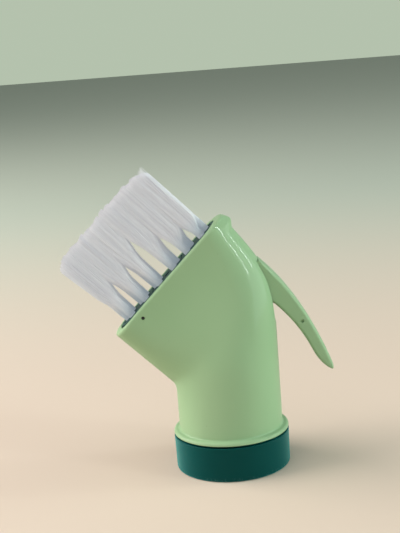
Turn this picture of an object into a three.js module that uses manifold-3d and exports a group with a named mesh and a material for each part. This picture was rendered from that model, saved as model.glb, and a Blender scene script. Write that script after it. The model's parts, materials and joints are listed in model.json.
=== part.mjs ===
// Crevice brush for a drink bottle: an elbow head that ends in a narrow mouth full of bristles,
// standing on the collar that screws onto the bottle. A thumb lever on the head's back opens a
// push valve, and water runs from the bottle through two hoses to a hole between the tufts.
// Millimetres, +Z up. The origin is on the collar's axis, in the plane that the brush stands on.
// The mouth faces -X and up, the thumb lever is on +X, and XZ is the plane of symmetry.
import * as THREE from 'three';
import { mergeVertices } from 'three/addons/utils/BufferGeometryUtils.js';
import Module from 'manifold-3d';

const wasm = await Module();
wasm.setup();

// Clearances
const clearance = 0.3;          // between pieces that seat on each other
const runningGap = 0.15;        // round a pin or a seal that slides or turns
const slotGap = 0.7;            // each side of the lever in the slot of the head
const overlap = 0.5;            // how far two shapes run into each other before they are joined

// Collar
const collarHeight = 13.1;
const collarTaper = 0.2;        // the foot is this much smaller in radius than the top
const collarFootEdge = 0.7;     // chamfers
const collarTopEdge = 0.3;
const skirtWall = 2.5;
const collarFloor = 2.2;
const socketRadius = 13.95;     // thread's root inside the collar, for a 28 mm bottle neck
const socketWall = 1.95;
const threadDepth = 1.0;
const threadPitch = 2.7;
const threadTurns = 2.75;
const threadRoot = 1.9;         // ridge's thickness at its root
const threadCrest = 0.7;
const sealThickness = 2;
const sealLap = 4.45;           // from the socket's wall in to the hole of the bottle seal
const beadHeight = 0.6;         // snap bead inside the collar, that runs in the head's groove
const beadWidth = 0.6;
const beadLevel = 6;

// Elbow head
const tubeRadius = 19.75;
const wall = 2.6;
const flangeLip = 2.25;         // how far the flange and the collar stand out from the neck
const flangeHeight = 1.9;
const flangeRound = 1.5;
const spigotGap = 0.8;          // under the head's spigot, above the collar's floor
const socketGap = 0.5;          // round the collar's socket, inside the spigot
const bendInnerRadius = 4.7;    // of the corner under the head
const mouthLean = 45 * Math.PI / 180;
const mouthReach = 20;          // from the neck's axis out to the mouth's centre
const mouthLevel = 76.05;
const mouthLength = 60.6;
const mouthWidth = 18;
const rimWall = 1.8;            // beside the mouth's pocket
const rimEnd = 3.8;             // and at its ends
const rimRound = 1.2;
const backBendStart = 55;       // height at which the back starts to lean
const backLowHandle = 22;       // reach of the back's curve at its lower and upper end
const backHighHandle = 20;
const backFlare = 10 * Math.PI / 180;
const tabLength = 4.5;          // boss at the mouth's upper end, where the brush plate hooks in
const tabHeight = 0.8;
const tabWidth = 10;
const tabSetback = 0.9;
const ledgeWidth = 1.3;
const ledgeHeight = 1.2;

// Brush plate and bristles
const plateThickness = 5;
const plateSink = 0.2;          // the plate's face lies this far inside the rim
const plateEdge = 2.2;          // plate beside the bristle strips
const tuftRows = [-1, 0, 1];    // front, middle and back row, across the mouth
const tuftsPerRow = 6;
const tuftsPerStrip = 2;        // of each row
const rowSpacing = 3;
const rowMargin = 1.9;          // from the bristles to the end of the mouth's pocket
const sideRowDraw = 0.3;        // the outer rows' tufts stand this much closer along the mouth
const middleRowSplit = 1.75;    // the middle row's halves stand this far out, clear of the water hole
const tuftRootRadius = 1.3;
const tuftStrands = 17;
const tuftFill = 0.96;          // share of its stretch of the row that a tuft fills at the tips
const rowFill = 0.82;           // and of the row's share of the depth
const tipLean = -0.5;           // the tips lean this far along the mouth, to its lower end
const strandRadius = 0.17;
const stripThickness = 1.6;
const bristleLength = 33.5;
const bristleDepth = 10;        // across the mouth, at the tips
const kneeHeight = 13;          // where neighbouring tufts meet
const kneeSpread = 0.93;        // share of a strand's slant that it has taken by then
const lowerTipDrop = 3;         // the tips fall away by this at the ends of the brush
const upperTipDrop = 4;
const tipDropPower = 8;         // how sharply they do so towards the ends
const tipRipple = 0.5;
const strayDrop = 1;            // for the few strands at the upper end that stay long
const strayFrom = 0.7;          // past this share of the last tuft of each row
const anchorLength = 3.2;
const anchorHeight = 1.5;
const anchorThickness = 0.5;
const waterHoleRadius = 1.3;
const nippleRadius = 2.3;
const nippleGrip = 2.8;         // how far a short nipple reaches into its hose
const hoseWall = 1.5;
const platePinRadius = 0.6;
const platePinOffset = -17;     // along the mouth from its middle
const platePinCover = 0.1;
const platePinRecess = 0.4;
const hookLength = 0.8;
const hookWidth = 6;
const hookThickness = 1.2;
const hookInset = 0.6;          // from the plate's back to the hook

// Thumb lever. Its outline is given from the neck's back and from the pivot's height.
const pivotInset = 6.99;        // from the inside of the back to the pivot
const pivotRise = 17;           // from the start of the back's lean up to the pivot
const pivotPinRadius = 1.5;
const hubRadius = 3.6;
const leverWidth = 8.4;
const leverBackWall = 1.8;
const leverSideWall = 1.7;
const channelStart = 0.36;      // the lever's hollow runs between these shares of its outer edge
const channelEnd = 0.86;
const channelDepth = 12;        // more than the lever is deep, so that the hollow is open
const noseRadius = 2;
const leverRootAt = [-5.3, 7.3];       // where the outer edge leaves the head
const leverRootHandle = [12.3, -11.2];
const leverTipAt = [21.1, -36.9];
const leverTipHandle = [-5.6, 16];
const leverToeAt = [13.3, -29.5];      // where the inner edge turns to the tip
const leverToeHandle = [-3.4, 7.3];
const leverToeRound = 4.8;
const leverHeelAt = [-0.35, -9.8];     // where the inner edge enters the head
const leverHeelHandle = [7, -7];
const leverDimpleAt = [9.6, -17.1];
const leverDimpleRadius = 0.65;
const leverDimpleDepth = 0.8;
const leverSwing = 7.8;                // room that the heel needs in the slot when it is pressed

// Carrier and valve
const carrierDisc = 3;
const postThickness = 2;
const postReach = 3;            // from the outlet's axis to the front of the posts
const clevisRadius = 3.2;
const clevisMouth = 2.7;        // the pin snaps through this opening
const earThickness = 1.8;
const earLap = 5;               // how far an ear reaches down its post
const plungerReach = 9.95;      // from the pivot to the outlet's axis, along the valve
const valveRadius = 6;
const chamberRadius = 4.3;
const chamberLength = 11;
const outletChamberRadius = 2.8;
const outletChamberHalf = 2;
const glandLength = 2.3;
const rodRadius = 1.7;
const headRadius = 3.9;
const headThickness = 1.6;
const poppetThickness = 1.2;
const oringThickness = 0.8;
const springGuideRadius = 1.2;
const springGuideLength = 3.3;
const springWire = 0.35;
const springRadius = 2.6;
const springTurns = 5;
const capPlugLength = 2.4;
const capFlange = 1.6;
const inletInset = 1.5;         // from the edge of the seal's hole to the inlet's axis
const nippleLength = 5.8;
const pegRadius = 1.5;
const pegReach = 1.3;           // from the outlet's axis to the pegs

// Facets
const roundSteps = 24;
const pinSteps = 12;
const bigRoundSteps = 36;
const collarSteps = 50;
const edgeSteps = 14;
const webCurveSteps = 8;
const flangeRoundSteps = 4;
const backSamples = 100;
const weldDistance = 1e-4;      // points nearer than this are one

// What follows from the sizes
const collarRadius = tubeRadius + flangeLip;
const skirtInner = collarRadius - skirtWall;
const spigotRadius = skirtInner - clearance;
const spigotBore = socketRadius + socketWall + socketGap;
const flangeFoot = collarHeight + clearance;
const flangeTop = flangeFoot + flangeHeight;
const socketTop = collarHeight - runningGap;
const discRadius = spigotBore - clearance;
const discFoot = socketTop + clearance;
const discTop = discFoot + carrierDisc;
const ledgeFoot = discTop + clearance;
const along = new THREE.Vector2(Math.cos(mouthLean), Math.sin(mouthLean));
const outward = new THREE.Vector2(-Math.sin(mouthLean), Math.cos(mouthLean));
const mouthCentre = new THREE.Vector2(-mouthReach, mouthLevel);
const mouthLow = mouthCentre.clone().addScaledVector(along, -mouthLength / 2);
const mouthTop = mouthCentre.clone().addScaledVector(along, mouthLength / 2);
const mouthMatrix = new THREE.Matrix4()
  .makeRotationY(-mouthLean)
  .setPosition(mouthCentre.x, 0, mouthCentre.y);
const headLength = (bendInnerRadius * (along.x - 1) - tubeRadius - mouthLow.x) / -outward.x;
const bendCentre = mouthLow.clone()
  .addScaledVector(along, -bendInnerRadius)
  .addScaledVector(outward, -headLength);
const bendStart = bendCentre.y;
const backCurve = new THREE.CubicBezierCurve(
  new THREE.Vector2(tubeRadius, backBendStart),
  new THREE.Vector2(tubeRadius, backBendStart + backLowHandle),
  mouthTop.clone().addScaledVector(
    new THREE.Vector2(-Math.sin(mouthLean - backFlare), Math.cos(mouthLean - backFlare)), -backHighHandle),
  mouthTop,
);
const pocketHalfLength = mouthLength / 2 - rimEnd;
const pocketHalfWidth = mouthWidth / 2 - rimWall;
const plateFoot = -plateSink - plateThickness;
const stripFoot = -plateSink - stripThickness;
const stripPocketFloor = stripFoot - clearance;
const tuftPitch = 2 * (pocketHalfLength - rowMargin) / tuftsPerRow;
const stripLength = tuftsPerStrip * tuftPitch - clearance;
const stripWidth = 2 * (pocketHalfWidth - clearance - plateEdge);
const halfRow = tuftsPerRow * tuftPitch / 2;
const platePinBore = platePinRadius + clearance;
const platePinLevel = stripPocketFloor - platePinCover - platePinBore;
const hookFoot = plateFoot + hookInset;
const hoseBore = nippleRadius + clearance;
const hoseRadius = hoseBore + hoseWall;
const pivotZ = backBendStart + pivotRise;
const pivotX = backAt(pivotZ) - wall - pivotInset;
const leverPoint = ([x, z]) => new THREE.Vector2(tubeRadius + x, pivotZ + z);
const handle = (point, [x, z]) => new THREE.Vector2(point.x + x, point.y + z);
const leverRoot = leverPoint(leverRootAt);
const leverTip = leverPoint(leverTipAt);
const leverToe = leverPoint(leverToeAt);
const leverHeel = leverPoint(leverHeelAt);
const leverDimple = leverPoint(leverDimpleAt);
const outletX = pivotX - plungerReach;
const outletReach = (outletX - mouthCentre.x) / Math.sin(mouthLean);
const valveLevel = mouthCentre.y - outletReach * Math.cos(mouthLean);
const stemEnd = pivotX - noseRadius - clearance;
const sealBore = socketRadius - sealLap;
const inletX = inletInset - sealBore;
const pegX = outletX + pegReach;
const earInner = leverWidth / 2 + clearance + runningGap;
const earOuter = earInner + earThickness;
const postInner = valveRadius + clearance;
const postOuter = postInner + postThickness;
const postBack = pivotX + clevisRadius - clearance;

// How far out the back's curve lies at a height.
function backAt(level) {
  const points = backCurve.getPoints(backSamples);
  const above = points.findIndex((point) => point.y > level);
  const [low, high] = [points[above - 1], points[above]];
  return THREE.MathUtils.mapLinear(level, low.y, high.y, low.x, high.x);
}

// Solids

function solid(geometry) {
  const bare = geometry.clone();
  bare.deleteAttribute('normal');
  bare.deleteAttribute('uv');
  const merged = mergeVertices(bare, weldDistance);
  const make = (triVerts) => new wasm.Manifold(new wasm.Mesh({
    numProp: 3,
    vertProperties: merged.attributes.position.array,
    triVerts,
  }));
  const triangles = Uint32Array.from(merged.index.array);
  const made = make(triangles);
  if (made.volume() > 0) return made;
  return make(triangles.reverse());
}

function geometryOf(body) {
  const mesh = body.getMesh();
  const geometry = new THREE.BufferGeometry();
  geometry.setAttribute('position', new THREE.BufferAttribute(mesh.vertProperties, 3));
  geometry.setIndex(new THREE.BufferAttribute(mesh.triVerts, 1));
  geometry.computeVertexNormals();
  return geometry;
}

// A solid of revolution about Z, from its outline in radius and height.
function turned(outline, steps = roundSteps) {
  const points = outline.map(([radius, height]) => new THREE.Vector2(radius, height));
  return solid(new THREE.LatheGeometry(points, steps).rotateX(Math.PI / 2));
}

function ring(inner, outer, low, high, steps = roundSteps) {
  return turned([[inner, low], [outer, low], [outer, high], [inner, high], [inner, low]], steps);
}

function rod(radius, from, to, steps = roundSteps) {
  const run = to.clone().sub(from);
  const turn = new THREE.Quaternion().setFromUnitVectors(
    new THREE.Vector3(0, 1, 0), run.clone().normalize());
  const geometry = new THREE.CylinderGeometry(radius, radius, run.length(), steps)
    .applyQuaternion(turn)
    .translate((from.x + to.x) / 2, (from.y + to.y) / 2, (from.z + to.z) / 2);
  return solid(geometry);
}

const at = (x, y, z) => new THREE.Vector3(x, y, z);
const rodAlongX = (radius, from, to, z) => rod(radius, at(from, 0, z), at(to, 0, z));
const rodAcross = (radius, x, z, half, steps = roundSteps) =>
  rod(radius, at(x, -half, z), at(x, half, z), steps);

function block(low, high) {
  const size = high.map((value, axis) => value - low[axis]);
  const middle = high.map((value, axis) => (value + low[axis]) / 2);
  return solid(new THREE.BoxGeometry(...size).translate(...middle));
}

// A plate with its outline in XZ, standing across Y between two levels.
function upright(shape, fromY, toY, curveSteps = 10) {
  const geometry = new THREE.ExtrudeGeometry(shape, {
    depth: toY - fromY, bevelEnabled: false, curveSegments: curveSteps, steps: 1,
  });
  return solid(geometry.rotateX(Math.PI / 2).translate(0, toY, 0));
}

function outlineOf(points) {
  return new THREE.Shape(points.map(([x, z]) => new THREE.Vector2(x, z)));
}

// Rings of points joined into a closed tube, with a flat cap at both ends.
function skinned(rings) {
  const count = rings[0].length;
  const corners = [];
  const quad = (a, b, c, d) => corners.push(a, b, c, a, c, d);
  for (let r = 0; r + 1 < rings.length; r += 1) {
    for (let i = 0; i < count; i += 1) {
      const next = (i + 1) % count;
      quad(rings[r][i], rings[r][next], rings[r + 1][next], rings[r + 1][i]);
    }
  }
  const cap = (points, flip) => {
    const middle = points.reduce((sum, p) => sum.add(p), at(0, 0, 0)).divideScalar(count);
    points.forEach((point, i) => {
      const next = points[(i + 1) % count];
      corners.push(middle, ...(flip ? [next, point] : [point, next]));
    });
  };
  cap(rings[0], true);
  cap(rings[rings.length - 1], false);
  return new THREE.BufferGeometry().setFromPoints(corners);
}

const placed = (body, matrix) => body.transform([...matrix.elements]);
const quarterRound = (centreR, centreZ, radius, steps) => Array.from({ length: steps + 1 }, (_, i) => [
  centreR + radius * Math.cos(i / steps * Math.PI / 2),
  centreZ + radius * Math.sin(i / steps * Math.PI / 2),
]);

// Cross-sections of the head

// Points round a section that goes from an ellipse (blend 0) to an oblong with round ends (blend 1).
function sectionPoints(halfLength, halfWidth, blend) {
  const arcSteps = bigRoundSteps / 3;
  const sideSteps = bigRoundSteps / 6;
  const flat = halfLength - halfWidth;
  const points = [];
  const add = (oblongX, oblongY, angle) => points.push([
    blend * oblongX + (1 - blend) * halfLength * Math.cos(angle),
    blend * oblongY + (1 - blend) * halfWidth * Math.sin(angle),
  ]);
  for (const side of [1, -1]) {
    for (let i = 0; i < arcSteps; i += 1) {
      const turn = (i / arcSteps - 0.5) * Math.PI;
      const x = flat + halfWidth * Math.cos(turn);
      const angle = turn * 2 / 3 + (side < 0 ? Math.PI : 0);
      add(side * x, side * halfWidth * Math.sin(turn), angle);
    }
    for (let i = 0; i < sideSteps; i += 1) {
      const share = i / sideSteps;
      const angle = (1 + share) * Math.PI / 3 + (side < 0 ? Math.PI : 0);
      add(side * flat * (1 - 2 * share), side * halfWidth, angle);
    }
  }
  return points;
}

// Where the head's sections lie: each has a point on the inner and on the outer outline of the elbow.
function headStations() {
  const straightSteps = 4;
  const backSteps = 12;
  const outer = [];
  for (let i = 0; i < straightSteps; i += 1) {
    const level = bendStart + (backBendStart - bendStart) * i / straightSteps;
    outer.push(new THREE.Vector2(tubeRadius, level));
  }
  outer.push(...backCurve.getPoints(backSteps));
  const stations = outer.map((point) => {
    const arm = point.clone().sub(bendCentre);
    const lean = Math.min(Math.atan2(arm.y, arm.x), mouthLean);
    const axis = new THREE.Vector2(Math.cos(lean), Math.sin(lean));
    const run = lean < mouthLean ? 0 : arm.dot(outward);
    const inner = bendCentre.clone()
      .addScaledVector(axis, bendInnerRadius)
      .addScaledVector(outward, run);
    const middle = inner.clone().add(point).divideScalar(2);
    return { middle, axis, halfLength: inner.distanceTo(point) / 2, run };
  });
  let length = 0;
  stations.forEach((station, i) => {
    if (i > 0) length += station.middle.distanceTo(stations[i - 1].middle);
    station.reach = length;
  });
  stations.forEach((station) => {
    const share = THREE.MathUtils.smoothstep(station.reach / length, 0, 1);
    station.blend = share;
    station.halfWidth = THREE.MathUtils.lerp(tubeRadius, mouthWidth / 2, share);
  });
  return stations;
}

function sectionRing({ middle, axis, halfLength, halfWidth, blend }, inset) {
  return sectionPoints(halfLength - inset, halfWidth - inset, blend).map(([x, y]) =>
    at(middle.x + axis.x * x, y, middle.y + axis.y * x));
}

const stations = headStations();
const moved = (station, out) => ({
  ...station, middle: station.middle.clone().addScaledVector(outward, out),
});
const neckFoot = (level) => ({ ...stations[0], middle: new THREE.Vector2(0, level) });

// Elbow head

function headOutside() {
  const mouth = stations[stations.length - 1];
  const open = stations.filter((station) => station.run < headLength - rimRound);
  const halfRounded = rimRound * (1 - Math.SQRT1_2);
  const rings = [
    sectionRing(neckFoot(flangeFoot), 0),
    ...open.map((station) => sectionRing(station, 0)),
    sectionRing(moved(mouth, -rimRound), 0),
    sectionRing(moved(mouth, -halfRounded), halfRounded),
    sectionRing(mouth, rimRound),
  ];
  return solid(skinned(rings));
}

// The head's hollow, from a level in the neck to just inside the pocket of the brush plate.
function headInside(foot) {
  const mouth = stations[stations.length - 1];
  const behind = stations.filter((station) => station.run < headLength + plateFoot - clearance);
  const rings = [
    sectionRing(neckFoot(foot), wall),
    ...behind.map((station) => sectionRing(station, wall)),
    sectionRing(moved(mouth, plateFoot), wall),
  ];
  return solid(skinned(rings));
}

function spigotAndFlange() {
  const grooveFloor = skirtInner - beadHeight - clearance;
  const grooveHalf = beadWidth / 2 + clearance;
  const slope = spigotRadius - grooveFloor;
  const foot = collarFloor + spigotGap;
  return turned([
    [0, foot],
    [spigotRadius - overlap, foot],
    [spigotRadius, foot + overlap],
    [spigotRadius, beadLevel - grooveHalf - slope],
    [grooveFloor, beadLevel - grooveHalf],
    [grooveFloor, beadLevel + grooveHalf],
    [spigotRadius, beadLevel + grooveHalf + slope],
    [spigotRadius, flangeFoot],
    [collarRadius, flangeFoot],
    ...quarterRound(collarRadius - flangeRound, flangeTop - flangeRound, flangeRound, flangeRoundSteps),
    [0, flangeTop],
  ], bigRoundSteps);
}

// An oblong with round ends, standing on the mouth's plane between two depths.
function oblong(halfLength, halfWidth, low, high) {
  const level = (z) => sectionPoints(halfLength, halfWidth, 1).map(([x, y]) => at(x, y, z));
  return solid(skinned([level(low), level(high)]));
}

function tab() {
  const end = mouthLength / 2;
  const inside = pocketHalfLength - wall;
  const back = -tabSetback - tabLength;
  const shape = outlineOf([
    [inside, -tabSetback],
    [inside, back - tabHeight],
    [end - tabHeight, back - tabHeight],
    [end + tabHeight / 2, back],
    [end + tabHeight, back + tabHeight],
    [end, -tabSetback],
  ]);
  return placed(upright(shape, -tabWidth / 2, tabWidth / 2), mouthMatrix);
}

function mouthCuts() {
  const pocket = oblong(pocketHalfLength, pocketHalfWidth, plateFoot - clearance, overlap * 2);
  const hookSlot = block(
    [pocketHalfLength - wall, -hookWidth / 2 - clearance, hookFoot - clearance],
    [pocketHalfLength + hookLength + clearance, hookWidth / 2 + clearance,
      hookFoot + hookThickness + clearance]);
  const pinHole = rodAcross(platePinBore, platePinOffset, platePinLevel, mouthWidth, pinSteps);
  return placed(pocket.add(hookSlot).add(pinHole), mouthMatrix);
}

// The neck's way in from below: the bore of the spigot up to the ledge, then the ledge's own.
function neckEntry() {
  return turned([[0, 0], [spigotBore, 0], [spigotBore, ledgeFoot], [spigotBore - ledgeWidth, ledgeFoot],
    [spigotBore - ledgeWidth, ledgeFoot + ledgeHeight + overlap], [0, ledgeFoot + ledgeHeight + overlap]],
  bigRoundSteps);
}

function leverSlot() {
  const half = leverWidth / 2 + slotGap;
  return block([pivotX + hubRadius / 2, -half, leverHeel.y - leverSwing],
    [collarRadius + overlap, half, leverRoot.y + clearance]);
}

function elbowBody() {
  return headOutside()
    .add(spigotAndFlange())
    .add(tab())
    .subtract(headInside(ledgeFoot + ledgeHeight))
    .subtract(neckEntry())
    .subtract(mouthCuts())
    .subtract(leverSlot());
}

// Collar and bottle seal

function threadRidge() {
  const stepsPerTurn = 24;
  const steps = Math.round(threadTurns * stepsPerTurn);
  const start = collarFootEdge + threadRoot / 2 + clearance;
  const rootRadius = socketRadius + overlap / 2;
  const crestRadius = socketRadius - threadDepth;
  const rings = [];
  for (let i = 0; i <= steps; i += 1) {
    const turn = i / stepsPerTurn;
    const level = start + turn * threadPitch;
    const angle = turn * 2 * Math.PI;
    const corner = (radius, height) =>
      at(radius * Math.cos(angle), radius * Math.sin(angle), level + height);
    rings.push([
      corner(rootRadius, -threadRoot / 2),
      corner(crestRadius, -threadCrest / 2),
      corner(crestRadius, threadCrest / 2),
      corner(rootRadius, threadRoot / 2),
    ]);
  }
  return solid(skinned(rings));
}

function baseCollar() {
  const footRadius = collarRadius - collarTaper;
  const socketOuter = socketRadius + socketWall;
  const beadRadius = skirtInner - beadHeight;
  const beadFoot = beadWidth / 2 + beadHeight;
  const shell = turned([
    [socketRadius, collarFootEdge],
    [socketRadius + collarFootEdge, 0],
    [footRadius - collarFootEdge, 0],
    [footRadius, collarFootEdge],
    [collarRadius, collarHeight - collarTopEdge],
    [collarRadius - collarTopEdge, collarHeight],
    [skirtInner, collarHeight],
    [skirtInner, beadLevel + beadFoot],
    [beadRadius, beadLevel + beadWidth / 2],
    [beadRadius, beadLevel - beadWidth / 2],
    [skirtInner, beadLevel - beadFoot],
    [skirtInner, collarFloor],
    [socketOuter, collarFloor],
    [socketOuter, socketTop],
    [socketRadius, socketTop],
    [socketRadius, collarFootEdge],
  ], collarSteps);
  return shell.add(threadRidge());
}

function bottleSeal() {
  return ring(sealBore, socketRadius - clearance, socketTop - sealThickness, socketTop, bigRoundSteps);
}

// Carrier that stands inside the neck

function postShape() {
  const front = outletX - postReach;
  const top = valveLevel + valveRadius;
  return outlineOf([[front, discTop - overlap], [postBack, discTop - overlap], [postBack, top], [front, top]]);
}

// An ear of the clevis, standing on the inner side of a post.
function earShape() {
  const foot = valveLevel + valveRadius - earLap;
  const shape = new THREE.Shape();
  shape.moveTo(pivotX - clevisRadius, foot);
  shape.lineTo(postBack, foot);
  shape.lineTo(pivotX + clevisRadius, pivotZ);
  shape.absarc(pivotX, pivotZ, clevisRadius, 0, Math.PI);
  shape.lineTo(pivotX - clevisRadius, foot);
  return shape;
}

function valveCarrier() {
  const pair = (shape, inner, outer) => upright(shape, inner, outer).add(upright(shape, -outer, -inner));
  const disc = turned([[0, discFoot], [discRadius, discFoot], [discRadius, discTop], [0, discTop]],
    bigRoundSteps);
  const nipple = rod(nippleRadius, at(inletX, 0, discTop - overlap), at(inletX, 0, discTop + nippleLength));
  const bridgeTop = valveLevel - postInner;
  const bridge = block(
    [inletX + hoseRadius + clearance, -postInner - overlap, bridgeTop - postThickness],
    [outletX + outletChamberHalf, postInner + overlap, bridgeTop]);
  const feed = rod(waterHoleRadius, at(inletX, 0, 0), at(inletX, 0, discTop + nippleLength + overlap));
  const pinBore = rodAcross(pivotPinRadius + runningGap, pivotX, pivotZ, postOuter);
  const pinMouth = block([pivotX, -postOuter, pivotZ - clevisMouth / 2],
    [pivotX + clevisRadius + overlap, postOuter, pivotZ + clevisMouth / 2]);
  const pegHole = rodAcross(pegRadius + clearance, pegX, valveLevel, postOuter + overlap);
  return disc.add(pair(postShape(), postInner, postOuter)).add(pair(earShape(), earInner, earOuter))
    .add(nipple).add(bridge)
    .subtract(feed).subtract(pinBore).subtract(pinMouth).subtract(pegHole);
}

// Push valve. Its length runs along X, and the outlet leaves it square to the mouth.
const valveFace = outletX + outletChamberHalf + glandLength;
const seatX = outletX - outletChamberHalf;
const valveBack = seatX - chamberLength - capPlugLength - clearance;
const chamberBack = seatX - chamberLength;
const headFront = seatX - clearance - poppetThickness;

function onOutlet(distance) {
  return at(outletX + outward.x * distance, 0, valveLevel + outward.y * distance);
}

// The outlet hose starts where its lower corner clears the valve's round back.
const outletHoseStart = (valveRadius + clearance + hoseRadius * Math.sin(mouthLean)) / Math.cos(mouthLean);
const outletHoseEnd = outletReach + plateFoot - clearance;
const outletNippleEnd = outletHoseStart + nippleGrip;
const plateNippleEnd = outletHoseEnd - nippleGrip;
const stemBore = rodRadius + oringThickness / 2 + 2 * runningGap;

function valveBody() {
  const inletEnd = valveLevel - valveRadius - nippleLength;
  const outside = rodAlongX(valveRadius, valveBack, valveFace, valveLevel)
    .add(rod(nippleRadius, at(inletX, 0, inletEnd), at(inletX, 0, valveLevel)))
    .add(rod(nippleRadius, onOutlet(0), onOutlet(outletNippleEnd)))
    .add(rodAcross(pegRadius, pegX, valveLevel, postOuter));
  return outside
    .subtract(rodAlongX(chamberRadius, valveBack - overlap, seatX, valveLevel))
    .subtract(rodAlongX(outletChamberRadius, seatX - overlap, outletX + outletChamberHalf, valveLevel))
    .subtract(rodAlongX(stemBore, outletX, valveFace + overlap, valveLevel))
    .subtract(rod(waterHoleRadius, at(inletX, 0, inletEnd - overlap), at(inletX, 0, valveLevel)))
    .subtract(rod(waterHoleRadius, onOutlet(0), onOutlet(outletNippleEnd + overlap)));
}

function valveCap() {
  const plugFront = chamberBack - clearance;
  return rodAlongX(chamberRadius - clearance, valveBack - overlap, plugFront, valveLevel)
    .add(rodAlongX(valveRadius - clearance, valveBack - clearance - capFlange,
      valveBack - clearance, valveLevel));
}

const oringX = outletX + outletChamberHalf + glandLength / 2;

// A ring turned about Z, laid along the valve at a place on its length.
function turnedAlongX(body, x) {
  return placed(body, new THREE.Matrix4().makeRotationY(Math.PI / 2).setPosition(x, 0, valveLevel));
}

function valveStem() {
  const grooveHalf = oringThickness / 2 + runningGap;
  const groove = ring(rodRadius - oringThickness / 2, rodRadius + overlap, -grooveHalf, grooveHalf);
  const headBack = headFront - headThickness;
  return rodAlongX(rodRadius, headFront - overlap, stemEnd, valveLevel)
    .add(rodAlongX(headRadius, headBack, headFront, valveLevel))
    .add(rodAlongX(springGuideRadius, headBack - springGuideLength, headBack + overlap, valveLevel))
    .subtract(turnedAlongX(groove, oringX));
}

function poppetSeal() {
  const seal = ring(rodRadius + runningGap, headRadius, headFront + runningGap, seatX - runningGap);
  return turnedAlongX(seal, 0);
}

function stemOring() {
  const radius = oringThickness / 2;
  const sides = 8;
  const outline = Array.from({ length: sides + 1 }, (_, i) => [
    rodRadius + runningGap + radius * Math.cos(i / sides * 2 * Math.PI),
    radius * Math.sin(i / sides * 2 * Math.PI),
  ]);
  return turnedAlongX(turned(outline), oringX);
}

function valveSpring() {
  const front = headFront - headThickness - clearance - springWire;
  const back = chamberBack + springWire;
  const stepsPerTurn = 8;
  const steps = springTurns * stepsPerTurn;
  const sides = 5;
  const centres = [];
  const rings = [];
  for (let i = 0; i <= steps; i += 1) {
    const angle = i / stepsPerTurn * 2 * Math.PI;
    const spoke = at(0, Math.cos(angle), Math.sin(angle));
    const centre = spoke.clone().multiplyScalar(springRadius).add(
      at(back + (front - back) * i / steps, 0, valveLevel));
    centres.push(centre);
    rings.push(Array.from({ length: sides }, (_, k) => {
      const turn = k / sides * 2 * Math.PI;
      return centre.clone()
        .addScaledVector(spoke, springWire * Math.cos(turn))
        .add(at(springWire * Math.sin(turn), 0, 0));
    }));
  }
  let leastGap = Infinity;
  centres.forEach((a, i) => centres.slice(i + stepsPerTurn / 2 + 1).forEach((b) => {
    leastGap = Math.min(leastGap, a.distanceTo(b) - 2 * springWire);
  }));
  console.log(`valve spring: least gap between turns ${leastGap.toFixed(2)} mm`);
  return solid(skinned(rings));
}

function hose(from, to) {
  const run = to.clone().sub(from);
  const turn = new THREE.Quaternion().setFromUnitVectors(at(0, 0, 1), run.clone().normalize());
  const matrix = new THREE.Matrix4().makeRotationFromQuaternion(turn).setPosition(from);
  return placed(ring(hoseBore, hoseRadius, 0, run.length()), matrix);
}

function inletHose() {
  return hose(at(inletX, 0, discTop + clearance), at(inletX, 0, valveLevel - valveRadius - clearance));
}

function outletHose() {
  return hose(onOutlet(outletHoseStart), onOutlet(outletHoseEnd));
}

// Thumb lever

function leverEdge() {
  return new THREE.CubicBezierCurve(
    leverRoot, handle(leverRoot, leverRootHandle), handle(leverTip, leverTipHandle), leverTip);
}

function leverWeb() {
  const toeHandle = handle(leverToe, leverToeHandle);
  const toeTurn = leverToe.clone().sub(toeHandle).setLength(leverToeRound).add(leverToe);
  const heelHandle = handle(leverHeel, leverHeelHandle);
  const shape = new THREE.Shape(leverEdge().getPoints(edgeSteps));
  shape.bezierCurveTo(leverTip.x - noseRadius, leverTip.y - overlap, toeTurn.x, toeTurn.y,
    leverToe.x, leverToe.y);
  shape.bezierCurveTo(toeHandle.x, toeHandle.y, heelHandle.x, heelHandle.y, leverHeel.x, leverHeel.y);
  shape.lineTo(pivotX + hubRadius + noseRadius / 2, leverHeel.y + hubRadius);
  shape.lineTo(pivotX + noseRadius, valveLevel);
  shape.absarc(pivotX, valveLevel, noseRadius, 0, -Math.PI, true);
  shape.lineTo(pivotX - hubRadius * Math.SQRT1_2, pivotZ);
  shape.lineTo(pivotX, pivotZ + hubRadius);
  shape.lineTo(leverRoot.x, leverRoot.y);
  return shape;
}

// The hollow on the inner side of the lever: its roof follows the outer edge, a wall further in.
function leverChannel() {
  const edge = leverEdge();
  const roof = Array.from({ length: edgeSteps + 1 }, (_, i) => {
    const share = THREE.MathUtils.lerp(channelStart, channelEnd, i / edgeSteps);
    const run = edge.getTangent(share);
    const inward = new THREE.Vector2(run.y, -run.x);
    return edge.getPoint(share).addScaledVector(inward, leverBackWall);
  });
  const down = new THREE.Vector2(leverTip.y - leverHeel.y, leverHeel.x - leverTip.x).setLength(channelDepth);
  const floor = roof.map((point) => point.clone().add(down));
  return new THREE.Shape([...roof, ...floor.reverse()]);
}

function trigger() {
  const half = leverWidth / 2;
  const channelHalf = half - leverSideWall;
  const dimple = rodAcross(leverDimpleRadius, leverDimple.x, leverDimple.y, leverWidth, pinSteps)
    .subtract(rodAcross(leverDimpleRadius * 2, leverDimple.x, leverDimple.y, half - leverDimpleDepth, pinSteps));
  return upright(leverWeb(), -half, half, webCurveSteps)
    .add(rodAcross(hubRadius, pivotX, pivotZ, half))
    .subtract(upright(leverChannel(), -channelHalf, channelHalf))
    .subtract(rodAcross(pivotPinRadius + runningGap / 2, pivotX, pivotZ, leverWidth))
    .subtract(dimple);
}

function triggerPin() {
  return rodAcross(pivotPinRadius, pivotX, pivotZ, earOuter);
}

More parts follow.
